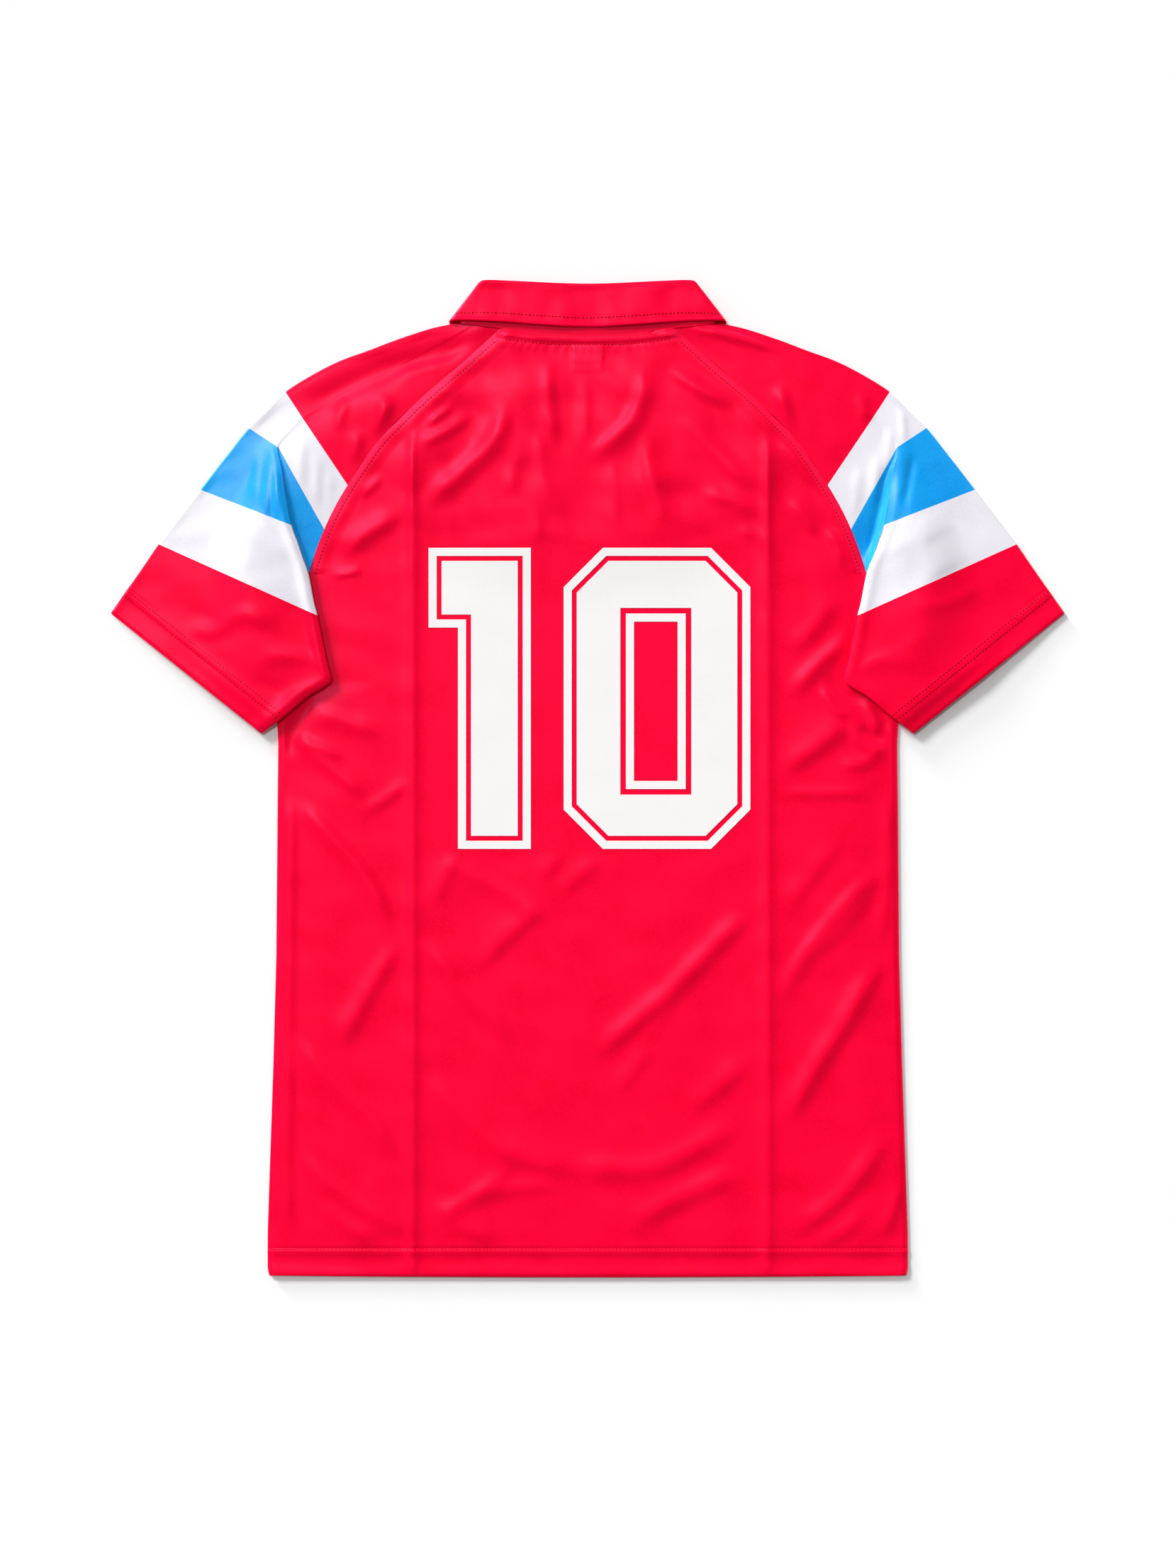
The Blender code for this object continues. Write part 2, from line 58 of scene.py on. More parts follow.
# Driving dimensions, as in the CAD
HEM_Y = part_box("back")[0][1] / MM
LAYER = 1.5  # from the middle of one layer to the middle of the next
WALL = 0.8  # the cloth
FRONT_MID = 0.5
BACK_MID = FRONT_MID + LAYER
RING_MID = FRONT_MID + 1.5 * LAYER  # the middle of the flattened collar
FOLD_RADIUS = LAYER / 2
HEM_DEPTH = 22.0
SEAM_GAP = 0.06
LAYER_GAP = 0.05

RAGLAN = [  # the raglan seam, from the neck down: out, up
    (68.9, 748.7), (88.5, 731.0), (101.9, 718.9), (129.4, 695.5), (148.4, 677.0),
    (164.6, 660.8), (177.0, 643.5), (189.3, 625.0), (199.5, 607.5), (207.8, 590.2),
    (215.0, 571.5), (220.1, 555.5),  # from here on it is hidden below the sleeve
    (262.6, 541.0),  # the armpit
]
RAGLAN_TURN = 11  # the station where it goes under the sleeve
HIDDEN_SEAM_END = 11.95  # and the station where it ends, just short of the armpit
SIDE_SEAM = [  # out, up
    (262.6, 541.0), (253.2, 505.0), (246.4, 462.0), (244.2, 420.6), (244.7, 378.6),
    (245.8, 252.6), (248.1, 168.6), (250.6, 95.0), (252.6, 34.2), (252.6, 8.0), (251.4, 1.5),
]
BACK_NECK = [(0.0, 743.7), (34.2, 744.8), (68.9, 748.7)]
FRONT_NECK = [(0.0, 657.0), (24.3, 668.7), (50.8, 683.6), (66.2, 696.5), (88.5, 725.8)]

# The left sleeve, a row for each section from the neck to the cuff. overarm is its outer
# fold, flap the line where its underside comes out over the body, both (out, up). step is
# how far the flap stands above the seam. back and front place the section's two ends: up
# to the armpit as stations on RAGLAN, and from there on as heights on the side seam.
SLEEVE_ROWS = [
    # name, overarm, flap, step, back, front
    ("neck", (105.8, 752.2), (91.0, 750.6), 0.0, 0.03, 1.03),
    ("", (124.9, 748.2), (110.4, 739.2), 0.0, 1.0, 1.6),
    ("", (150.6, 739.8), (137.0, 725.6), 0.0, 2.5, 2.7),
    ("", (173.0, 731.4), (158.6, 711.5), 0.0, 3.5, 3.5),
    ("", (196.0, 723.0), (182.0, 700.9), 0.0, 4.5, 4.5),
    ("", (217.3, 712.3), (203.6, 689.9), 0.0, 5.7, 5.7),
    ("white", (238.6, 698.9), (224.3, 677.0), 0.0, 7.0, 7.0),
    ("", (252.6, 685.4), (235.0, 666.5), 0.0, 8.0, 8.0),
    ("blue", (267.7, 670.3), (243.9, 654.6), 0.25, 9.0, 9.0),
    ("", (280.6, 654.1), (240.6, 637.0), 1.5, 9.4, 9.4),
    ("", (292.9, 638.4), (237.2, 613.5), 3.0, 9.8, 9.8),
    ("white", (305.8, 621.6), (233.2, 593.0), 3.6, 10.2, 10.2),
    ("", (312.5, 612.6), (228.2, 579.0), 3.9, 10.6, 10.6),
    ("", (317.5, 606.5), (223.9, 566.0), 4.0, 10.93, 10.93),
    ("tip", (320.9, 602.0), (220.1, 555.5), 4.0, 11.0, 11.0),
    ("armpit", (332.4, 586.8), (215.4, 531.8), 4.0, 541.0, 541.0),
    ("red", (338.8, 578.5), (212.8, 521.9), 4.0, 522.0, 522.0),
    ("", (348.3, 564.5), (208.9, 503.0), 4.0, 504.0, 504.0),
    ("", (354.5, 555.5), (205.0, 483.3), 4.0, 488.0, 488.0),
    ("", (358.4, 549.9), (202.7, 469.3), 4.0, 474.0, 474.0),
    ("", (361.2, 546.0), (218.6, 459.6), 3.8, 462.0, 462.0),
    ("hem", (364.1, 542.1), (239.1, 442.4), 3.6, 451.0, 451.0),
    ("", (368.6, 535.6), (246.2, 437.0), 3.4, 444.0, 444.0),
    ("", (372.2, 530.4), (251.8, 432.8), 2.9, 438.0, 438.0),
    ("cuff", (376.5, 524.2), (257.0, 429.0), 2.5, 434.0, 434.0),
]
ROW_NAMES = [row[0] for row in SLEEVE_ROWS]
TIP_ROW = ROW_NAMES.index("tip")

# The left half of the collar, from the centre back over the side to the centre front. A
# section runs from the seam over the fold to the leaf's edge, all (out, up). turn is its
# angle round the flattened neck: 90 on the back, 0 at the side and -90 on the front.
COLLAR_ROWS = [
    # turn, seam, fold, edge
    (90, (0.0, 743.7), (0.0, 784.0), (0.0, 749.8)),
    (90, (14.0, 743.9), (14.0, 784.2), (15.0, 750.1)),
    (90, (34.2, 744.8), (32.0, 784.9), (34.0, 751.2)),
    (90, (52.0, 746.6), (50.0, 785.8), (56.0, 752.8)),
    (90, (68.9, 748.7), (66.0, 786.5), (79.0, 754.3)),
    (90, (87.0, 750.7), (77.0, 786.9), (98.0, 754.8)),
    (80, (98.6, 752.0), (83.0, 786.4), (106.3, 754.6)),
    (45, (101.4, 753.0), (85.4, 785.2), (108.6, 754.2)),
    (0, (102.0, 753.1), (86.0, 783.9), (109.4, 753.9)),
    (-45, (101.4, 751.4), (85.4, 782.6), (109.2, 753.5)),
    (-80, (100.4, 748.8), (84.4, 780.8), (108.9, 752.0)),
    (-90, (97.2, 741.5), (80.0, 772.5), (108.4, 742.0)),
    (-90, (88.5, 725.8), (66.5, 751.0), (103.5, 712.0)),
    (-90, (66.2, 696.5), (45.6, 721.5), (89.6, 678.0)),
    (-90, (50.8, 683.6), (32.6, 705.0), (79.5, 660.0)),
    (-90, (24.3, 668.7), (15.4, 685.5), (65.4, 640.8)),
    (-90, (2.2, 658.1), (2.2, 672.6), (52.6, 627.8)),
]

# Creases. A row gives left, right, height and then its path's x and up by turns. left and
# right are the widths of its two flanks, to the left and the right of someone who walks
# along it, so a crease with a wide and a narrow flank is a soft step. height is below
# nought in a hollow.
BACK_CREASES = [
    # the lower back
    (24, 14, 1.7, 155, 119, 181, 166, 206, 205, 234, 256),
    (18, 16, 1.3, -198, 176, -183, 208, -167, 236, -147, 268),
    (22, 16, 1.6, 1, 172, 32, 197, 59, 220, 82, 242, 106, 267, 134, 294),
    (21, 15, 1.4, 158, 33, 180, 48, 199, 63, 219, 86, 239, 119),
    (24, 20, 1.4, 26, 38, 57, 55, 90, 71, 128, 85),
    (33, 22, 1.4, -128, 166, -106, 134, -75, 106, -41, 91, 1, 85),
    (33, 22, 1.4, -20, 87, 43, 86, 76, 96, 104, 113, 129, 127),
    (39, 14, 0.8, 152, 285, 177, 317, 202, 350),
    (33, 12, 0.7, 166, 247, 197, 271, 227, 309),
    (27, 12, 0.9, -91, 240, -63, 268, -29, 298),
    (24, 12, 0.7, -25, 300, -8, 315, 12, 332),
    (21, 11, 0.6, -35, 312, -20, 343),
    (21, 12, 0.7, -123, 292, -113, 314, -101, 338),
    (16, 15, 1.1, -134, 272, -106, 236, -78, 206, -58, 176),
    (12, 18, 1.6, -232, 378, -200, 346, -172, 312, -152, 270),
    (15, 15, 1.0, -236, 106, -204, 74, -172, 50, -146, 34),
    (15, 18, 0.8, -120, 338, -92, 318, -52, 296, -18, 270),
    (14, 17, 1.1, 148, 214, 176, 262, 208, 300, 240, 326),
    (14, 14, 0.4, 36, 180, 58, 204, 72, 232),
    (15, 17, 0.9, -128, 40, -92, 62, -52, 72, -12, 70),
    (15, 18, 1.4, -234, 196, -206, 158, -172, 126, -146, 88),
    (18, 15, 1.0, -218, 63, -190, 40, -162, 25),
    (21, 14, 0.9, -181, 82, -162, 55, -141, 27),
    (24, 14, 0.9, -125, 62, -100, 40, -69, 26),
    (18, 15, 0.9, -97, 61, -78, 73, -57, 87),
    (30, 14, 0.9, 76, 128, 104, 150, 130, 175),
    (24, 12, 0.7, 21, 144, 35, 162, 53, 185),
    (15, 12, 0.8, 174, 26, 200, 35, 222, 57),
    (15, 11, 0.9, 230, 29, 242, 54, 250, 79),
    (21, 11, 1.1, -237, 26, -237, 113, -236, 225, -235, 337, -234, 390),
    (15, 18, 0.9, 230, 258, 237, 309, 239, 348, 238, 393),
    # the upper back, on the left
    (20, 18, 2.0, -134, 605, -114, 622, -94, 640, -77, 657, -68, 677, -72, 697),
    (14, 10, 1.1, -135, 657, -113, 666, -90, 682),
    (8, 8, 0.7, -128, 671, -118, 679, -106, 687),
    (22, 14, 1.6, -195, 570, -173, 587, -145, 604),
    (12, 9, 0.8, -181, 615, -161, 632),
    (8, 7, 0.6, -203, 554, -190, 555, -176, 559),
    # the upper back, in the middle
    (14, 12, 1.0, -26, 650, -30, 689, -32, 726),
    (14, 12, 0.7, -4, 650, -2, 684, -4, 712),
    (14, 18, 1.6, -1, 642, 16, 658, 33, 674, 43, 696, 46, 724),
    (14, 20, 1.4, 63, 586, 54, 617, 48, 642, 45, 673),
    (12, 10, 0.6, 23, 589, 21, 617, 18, 650),
    (14, 10, 0.6, -39, 527, -40, 572, -40, 617),
    (12, 16, 0.7, -63, 614, -55, 655),
    (12, 14, 0.7, -22, 614, -35, 631, -39, 673),
    # the upper back, on the right
    (16, 12, 1.2, 62, 720, 76, 708, 99, 695, 118, 687),
    (20, 14, 1.0, 68, 681, 91, 662, 118, 634, 139, 620),
    (16, 12, 0.9, 87, 617, 115, 613, 135, 597),
    (10, 12, 0.7, 118, 593, 143, 578),
    (12, 10, 1.0, 148, 664, 167, 639, 181, 620),
    (12, 10, 0.9, 158, 614, 173, 596, 181, 583),
    (10, 9, 0.9, 188, 593, 197, 577, 202, 558),
    # below the armpits
    (16, 14, 1.6, 158, 457, 180, 481, 199, 498, 214, 511),
    (22, 12, 0.9, 155, 491, 178, 510, 199, 540),
    (26, 13, 1.3, 149, 396, 180, 417, 211, 442),
    (12, 10, 0.9, 194, 404, 216, 405, 230, 415, 234, 426),
    (10, 9, 1.2, 186, 470, 190, 456, 197, 446, 210, 443),
    (10, 9, -0.9, 188, 476, 197, 463, 208, 457, 220, 455),
    (8, 7, 1.3, 217, 458, 223, 447, 227, 436, 227, 426),
    (8, 8, -1.0, 222, 456, 230, 447, 235, 437, 236, 428),
    (9, 9, 1.1, 206, 440, 213, 426, 222, 418, 236, 416),
    (8, 8, -1.1, 214, 436, 224, 427, 236, 422),
    (11, 12, -1.5, -216, 460, -223, 449, -229, 437, -233, 424, -235, 408),
    (14, 18, 1.0, -222, 448, -204, 443, -180, 435, -160, 428),
    (9, 12, 1.1, -236, 430, -222, 422, -206, 416, -190, 408),
    (12, 10, 1.1, -229, 423, -213, 409, -195, 395, -170, 374),
    (14, 10, 0.9, -181, 366, -158, 378, -139, 394),
    # pressed across, where the jersey was folded in half
    (10, 10, 0.8, 147, 382, 227, 382),
    (10, 10, 0.3, -142, 381, -106, 382),
    (10, 10, 0.4, -41, 381, -19, 381),
]
LEFT_SLEEVE_CREASES = [
    # the shoulder
    (24, 38, -1.9, -230, 683, -207, 694, -165, 713, -118, 729, -80, 740),
    (9, 9, 0.8, -199, 666, -190, 696),
    (16, 12, 1.8, -166, 657, -161, 675, -158, 699),
    (14, 12, 1.1, -183, 638, -181, 670),
    (12, 14, 0.8, -156, 709, -134, 716, -106, 722),
    # above the cuff
    (16, 12, 1.2, -321, 514, -296, 509, -277, 521, -257, 519, -240, 510),
    (10, 12, 0.9, -262, 490, -232, 490, -206, 484),
    (14, 12, 0.5, -242, 450, -228, 464, -208, 484),
    (8, 7, -0.8, -264, 473, -250, 465, -236, 459),
    # ripples in the bands
    (8, 8, 0.5, -227, 622, -225, 667),
    (8, 8, 0.5, -214, 605, -213, 650),
    (8, 8, 0.4, -204, 594, -203, 639),
    (9, 9, 0.4, -264, 610, -259, 655),
    (8, 8, 0.6, -254, 596, -251, 650),
    (7, 7, 0.5, -245, 593, -246, 642),
]
RIGHT_SLEEVE_CREASES = [
    # the shoulder
    (8, 10, 1.5, 76, 750, 113, 743, 157, 729),
    (16, 11, 1.7, 162, 660, 156, 681, 151, 706),
    (14, 10, 0.9, 220, 673, 216, 701),
    # above the cuff
    (14, 10, 0.7, 207, 473, 232, 487, 262, 481),
    (16, 12, 0.5, 247, 527, 283, 531, 315, 548),
    # the blue band's fold
    (24, 14, -1.1, 246, 660, 236, 625, 226, 580, 222, 556),
    (10, 8, -0.9, 257, 652, 253, 628, 248, 604),
    # ripples in the bands
    (8, 8, 0.5, 250, 655, 248, 690),
    (9, 9, 0.6, 237, 630, 238, 672),
    (9, 9, 0.6, 226, 607, 228, 652),
    (8, 8, 0.5, 211, 600, 213, 640),
]
RELIEF = 1.1  # all the creases' heights are multiplied by this
CREASE_WIDTH = 0.82  # and all their widths by this
WIDEST = 21.0  # but no flank is made wider than this
CREASE_END = 34.0  # a crease fades out over this length, or less if it is short
CREASE_END_SHARE = 0.32
PRESS_CREASES = (-138.3, 142.0)  # the lines where the jersey was folded to be packed
PRESS_TOP = 686.0  # their upper end, below which they fade in over PRESS_FADE
PRESS_FADE = 60.0
PRESS_HEIGHT = 1.55
PRESS_WIDTH = 4.0
BACK_SWELL = 1.4  # how far the back's middle lies above its edges
EDGE_FADE = 40.0  # from the sides and the hem to where the swell is whole
CREASE_FADE = 11.0  # from the edges to where the creases are whole
NECK_EDGE = 745.0  # the swell starts here, and is whole NECK_FADE below it
NECK_FADE = 50.0
DROP_WIDTH = 5.0  # the strip along a side that comes down to the front
SLEEVE_SWELL = {-1: 2.0, 1: 2.9}  # how far a sleeve's middle stands up, -1 on the left
NECK_MIDDLE = 706.0  # the collar lies under the front and lifts the cloth round the neck
NECK_LIFT_REACH = (146.0, 112.0)
NECK_LIFT_FADE = 1.6
NECK_RAISE = 0.9  # the seam's turned-in edges hold the neckline up below the collar's leaf
NECK_RAISE_FADE = 30.0
MOTTLE = 0.27  # the height of the small unevenness of cloth that has been folded and worn
MOTTLE_WAVES = (95, 71, 54, 43, 34, 26, 19)  # the lengths of its waves
SLEEVE_MOTTLE = 0.55  # against that of the back
FAR = 99.0  # the distance from the raglan seam of a point that is beyond its end

# Sewing
ALLOWANCE = 5.0  # the turned-in edges raise the back this far in from a raglan seam
ALLOWANCE_RISE = 0.4
RAGLAN_STITCH_IN = 5.0
RAGLAN_STITCHED = (0.35, 10.95)  # the stations where it starts and ends
NECK_ALLOWANCE = 6.8
NECK_STITCH_IN = 8.0
NECK_STITCHED = 66.0  # how far out it reaches
CUFF_RELIEF = {-1: 0.8, 1: 0.5}  # a cuff's part of the relief of the body's hem
CUFF_NEEDLES = (22.0, 17.2)  # the two needle rows of a cuff, from its edge
CUFF_BEYOND = (12, 6)  # how far past the outer fold and the flap they are traced
LEAF_STITCH_IN = 7.0
PATH_STEP = 0.75  # between the points of a stitched path
STITCH_PITCH = 3.0
STITCH_LENGTH = 2.3
STITCH_RADIUS = 0.32
STITCH_SIDES = 6
STITCH_BOW = (-0.12, 0.16, 0.26, 0.16, -0.12)  # a stitch's rise, ring by ring
STITCH_TAPER = (0.45, 0.95, 1.0, 0.95, 0.45)  # and its thickness, against the radius
LABEL_SIZE = (24.0, 20.0)
LABEL_TOP = 735.0
LABEL_WALL = 0.4
LABEL_DEPTH = 0.9  # from the back's inner face to the label's middle

# The number. Plan sizes in (x, up)
NUMBER_BOX = (-126.0, 129.0, 338.0, 576.0)  # left, right, foot, top of the stiffer cloth
STIFFNESS = 0.85  # how much of the unevenness the film takes away
NUMBER_TOP = 575.5
NUMBER_FOOT = 338.0
NUMBER_LINE = 6.4  # the white outline
NUMBER_GAP = 3.9  # the red line inside it
HOLE_GAP = NUMBER_GAP + 0.5  # and the one round the hole
FILM = 0.15
FILM_SPACING = 2.4  # of the points inside it
FILM_CLEAR = 0.8  # which stay this far from its outline
ONE = {"left": -125.5, "right": -44.8, "stem": -102.3, "flag": 512.6}
ZERO = {"left": -18.9, "right": 128.4, "corner": 31.0}
COUNTER = (25.8, 81.8, 380.8, 528.1)  # left, right, foot, top of the nought's inside


def smooth(t):
    """0 below t = 0, 1 above t = 1, and an even S between."""
    t = np.clip(t, 0.0, 1.0)
    return t * t * (3 - 2 * t)


def bell(t):
    """1 at t = 0, and a soft fall to 0 on both sides."""
    return np.exp(-(t**2))


def mix(a, b, t):
    return np.asarray(a, float) + (np.asarray(b, float) - np.asarray(a, float)) * t


def inward(point, target, distance):
    """The point moved this far towards target."""
    return mix(point, target, distance / math.dist(point, target))


def spline(points, s):
    """The point at station s of a curve through points, where station 2 is the third."""
    k = min(int(s), len(points) - 2)
    t = s - k
    a, b = np.array(points[k], float), np.array(points[k + 1], float)
    before = np.array(points[k - 1], float) if k > 0 else 2 * a - b
    after = np.array(points[k + 2], float) if k + 2 < len(points) else 2 * b - a
    m, n = (b - before) / 2, (after - a) / 2
    return (
        (2 * t**3 - 3 * t**2 + 1) * a
        + (t**3 - 2 * t**2 + t) * m
        + (3 * t**2 - 2 * t**3) * b
        + (t**3 - t**2) * n
    )


def spline_path(points, parts):
    """A curve through points, with this many parts between two of them."""
    count = (len(points) - 1) * parts
    return np.array([spline(points, k / parts) for k in range(count + 1)])


def reach_of(path):
    """How far along a path each of its points is."""
    return np.concatenate([[0], np.cumsum(np.linalg.norm(np.diff(path, axis=0), axis=1))])


def points_at(path, reach, marks):
    """The points of a path at these distances along it."""
    return np.stack([np.interp(marks, reach, column) for column in path.T], axis=1)


def evenly(path, spacing):
    """The path's points, moved to lie this far apart."""
    path = np.asarray(path, float)
    reach = reach_of(path)
    parts = max(int(round(reach[-1] / spacing)), 1)
    return points_at(path, reach, np.linspace(0, reach[-1], parts + 1))


def raglan(s, offset=0.0):
    """A point of the raglan seam. A positive offset moves it to the sleeve's side."""
    if s <= RAGLAN_TURN:
        visible = RAGLAN[: RAGLAN_TURN + 1]
        point, near = spline(visible, s), spline(visible, max(s - 0.05, 0))
        after = spline(visible, min(s + 0.05, RAGLAN_TURN))
    else:
        near, after = RAGLAN[RAGLAN_TURN], RAGLAN[RAGLAN_TURN + 1]
        point = mix(near, after, s - RAGLAN_TURN)
    along = np.subtract(after, near)
    along = along / np.linalg.norm(along)
    return np.array((point[0] - along[1] * offset, point[1] + along[0] * offset))


def side(up):
    """How far out the side seam is at this height."""
    outs, ups = zip(*SIDE_SEAM)
    return np.interp(-np.asarray(up), -np.array(ups), outs)


def nearest(x, up, path):
    """For each point: its distance from the path, positive on the right of someone who
    walks along it, and how far along the path it is. Then the path's length."""
    best = np.full(np.shape(x), np.inf)
    across, along = np.zeros(np.shape(x)), np.zeros(np.shape(x))
    start = 0.0
    for (ax, ay), (bx, by) in zip(path[:-1], path[1:]):
        dx, dy = bx - ax, by - ay
        length = math.hypot(dx, dy)
        t = np.clip(((x - ax) * dx + (up - ay) * dy) / length**2, 0, 1)
        ox, oy = x - ax - t * dx, up - ay - t * dy
        distance = np.hypot(ox, oy)
        closer = distance < best
        best = np.where(closer, distance, best)
        across = np.where(closer, distance * np.sign(ox * dy - oy * dx), across)
        along = np.where(closer, start + t * length, along)
        start += length
    return across, along, start


def crease_height(x, up, creases):
    """The height that a table of creases gives each point."""
    total = np.zeros(np.shape(x))
    for left, right, height, *path in creases:
        curve = spline_path(np.reshape(path, (-1, 2)), 5)
        margin = 1.4 * max(left, right)
        low, high = curve.min(axis=0) - margin, curve.max(axis=0) + margin
        near = (x > low[0]) & (x < high[0]) & (up > low[1]) & (up < high[1])
        if not near.any():
            continue
        across, along, length = nearest(x[near], up[near], curve)
        width = np.minimum(np.where(across > 0, right, left) * CREASE_WIDTH, WIDEST)
        fade = min(length * CREASE_END_SHARE, CREASE_END)
        ends = smooth(along / fade) * smooth((length - along) / fade)
        total[near] += RELIEF * height * ends * bell(2 * across / width)
    return total


def mottle(x, up, seed):
    """Small soft unevenness: waves that cross each other at angles that never repeat."""
    random = np.random.default_rng(seed)
    total = np.zeros(np.shape(x))
    for wave in MOTTLE_WAVES:
        angle, phase, drift = random.uniform(0, math.pi), *random.uniform(0, 6.28, 2)
        across = x * math.cos(angle) + up * math.sin(angle)
        beside = up * math.cos(angle) - x * math.sin(angle)
        bend = 0.9 * np.sin(beside * 6.28 / (wave * 2.3) + drift)
        total += wave / MOTTLE_WAVES[0] * np.sin(across * 6.28 / wave + phase + bend)
    return total * MOTTLE


def puckers(along, pitch, sway, slow, shift=0.0):
    """Small gathers along a seam, from 0 to 1. Their pitch sways slowly."""
    return 0.5 + 0.5 * np.sin(along * pitch + sway * np.sin(along * slow) + shift)


def neck_lift(x, up):
    """How far the collar's front lifts what lies on it."""
    wide, high = NECK_LIFT_REACH
    q = np.hypot(x / wide, (up - NECK_MIDDLE) / high)
    return LAYER * (1 - smooth((q - 1) / (NECK_LIFT_FADE - 1)))


RAGLAN_LINE = np.array([raglan(s) for s in np.linspace(0, RAGLAN_TURN, 90)])
NECK_LINE = spline_path(BACK_NECK, 8)
FLAP_UPS = np.array([row[2][1] for row in SLEEVE_ROWS[TIP_ROW:-2]])
FLAP_OUTS = np.array([row[2][0] for row in SLEEVE_ROWS[TIP_ROW:-2]])


def flap_out(up):
    """How far out the edge of the sleeve is that lies over the body at this height."""
    line = np.interp(-up, -FLAP_UPS, FLAP_OUTS)
    return np.where((up > FLAP_UPS[-1]) & (up < FLAP_UPS[0] + 6), line, 999.0)


def neck_up(x):
    return np.interp(np.abs(x), NECK_LINE[:, 0], NECK_LINE[:, 1])


def raglan_distance(out, up):
    """How far each point is from the raglan seam, and how far along the seam it is."""
    across, along, _ = nearest(out, up, RAGLAN_LINE)
    return np.where(up > RAGLAN_LINE[-1][1], np.abs(across), FAR), along


def back_base(x, up):
    """The back's broad form, without its creases and seams."""
    out = np.abs(x)
    edge = side(up)
    inside = smooth((edge - out) / EDGE_FADE) * smooth(up / EDGE_FADE)
    inside = inside * smooth((NECK_EDGE - up) / NECK_FADE)
    # below the flap it lies flat
    covered = smooth((out - np.interp(-up, -FLAP_UPS, FLAP_OUTS) + 38) / 40)
    covered = covered * smooth((up - 415) / 28) * smooth((600 - up) / 40)
    raised = smooth((90 - out) / 30) * (1 - smooth((neck_up(x) - up) / NECK_RAISE_FADE))
    drop = (LAYER - WALL) * (1 - smooth((edge - out) / DROP_WIDTH))
    swell = BACK_SWELL * inside * (1 - covered) + NECK_RAISE * raised
    return BACK_MID + neck_lift(x, up) + swell - drop


def seam_relief(x, up):
    """The raglan and neck seams of the back: the dip at the seam, the turned-in edges
    beneath, the groove of the topstitching and the puckers beside it."""
    out = np.abs(x)
    d, along = raglan_distance(out, up)
    pucker = puckers(along, 0.93, 1.7, 0.11, np.sign(x))
    total = -0.06 * bell(d / 0.8)
    total += ALLOWANCE_RISE * smooth(d / ALLOWANCE) * (1 - smooth((d - ALLOWANCE - 3.5) / 6))
    total -= 0.1 * bell((d - RAGLAN_STITCH_IN) / 0.8) * (0.4 + 1.2 * pucker)
    total += 0.22 * pucker * bell((d - RAGLAN_STITCH_IN - 2.6) / 2.0)
    n = neck_up(x) - up
    pucker = puckers(x, 0.9, 1.5, 0.13)
    neck = -0.1 * bell(n / 0.8)
    neck += 0.55 * smooth(n / 3.5) * (1 - smooth((n - NECK_ALLOWANCE + 1.8) / 2.6))
    neck -= 0.2 * bell((n - NECK_STITCH_IN) / 0.8) * (0.4 + 1.2 * pucker)
    neck += 0.2 * pucker * bell((n - NECK_STITCH_IN - 3.4) / 2.6)
    return total + neck * smooth((74 - out) / 8)


def hem_relief(inside):
    """A hem, this far inside the edge: the cloth rises to its stitching, then doubles, sinks
    behind the turned-in cut edge and rolls up to the fold."""
    total = 0.25 * smooth((HEM_DEPTH + 9 - inside) / 7)
    total -= 0.35 * bell((inside - HEM_DEPTH - 0.6) / 0.7)
    total += 0.5 * smooth((HEM_DEPTH + 0.8 - inside) / 2)
    total -= 0.55 * smooth((HEM_DEPTH - 2 - inside) / 4.5)
    return total + 0.9 * smooth((HEM_DEPTH - 8 - inside) / 12) * smooth(inside / 2)


def label_relief(x, up):
    """The label inside presses through the back: its turned-in edges and its middle."""
    wide, high = LABEL_SIZE
    middle = LABEL_TOP - high / 2
    reach = np.maximum(np.abs(x) - wide / 2, np.abs(up - middle) - high / 2)
    plateau = 0.5 * (1 - smooth((reach + 0.8) / 2.0))
    return plateau * (1 - 0.5 * smooth((middle + 2 - up) / 8))


def back_height(x, up):
    """The middle of the back panel with everything that shows on it."""
    x, up = np.asarray(x, float), np.asarray(up, float)
    out = np.abs(x)
    seam, _ = raglan_distance(out, up)
    edge = np.minimum(np.minimum(side(up) - out, seam), np.minimum(up, neck_up(x) - up))
    free = smooth(edge / CREASE_FADE) * (1 - smooth((out - flap_out(up) + 6) / 6))
    worn = mottle(x, up, 4) * (0.6 + 0.8 * smooth((up - 520) / 120))
    height = (crease_height(x, up, BACK_CREASES) + worn) * stiffened(x, up)
    for crease in PRESS_CREASES:
        ridge = np.exp(-np.hypot((x - crease) / PRESS_WIDTH, 0.2) + 0.2)
        top = 1 + 0.5 * smooth((up - 590) / 50)
        height += PRESS_HEIGHT * ridge * top * smooth((PRESS_TOP - up) / PRESS_FADE)
    fine = seam_relief(x, up) + hem_relief(up) + label_relief(x, up)
    lowest = FRONT_MID + WALL + LAYER_GAP + neck_lift(x, up)
    return np.maximum(back_base(x, up) + height * free + fine, lowest)


def stiffened(x, up):
    """The part of the unevenness that is left below the number."""
    left, right, foot, top = NUMBER_BOX
    reach = np.maximum(np.maximum(left - x, x - right), np.maximum(foot - up, up - top))
    return 1 - STIFFNESS * (1 - smooth(reach / 14))


def front_height(x, up):
    return FRONT_MID + neck_lift(x, up)


# Materials
KNIT_ROUGHNESS = 0.29
WORN_AND_SHADED_RAMP = (0.8, 1.0)  # where the worn and shaded colour, partly painted shade, starts to give way, and where it is gone
BUMP = {"Strength": 0.13, "Distance": 0.0002}  # of the knit, in metres


def node(tree, kind, inputs=None, **settings):
    made = tree.nodes.new(kind)
    for name, value in settings.items():
        setattr(made, name, value)
    for name, value in (inputs or {}).items():
        if isinstance(value, bpy.types.NodeSocket):
            tree.links.new(value, made.inputs[name])
        else:
            made.inputs[name].default_value = value
    return made


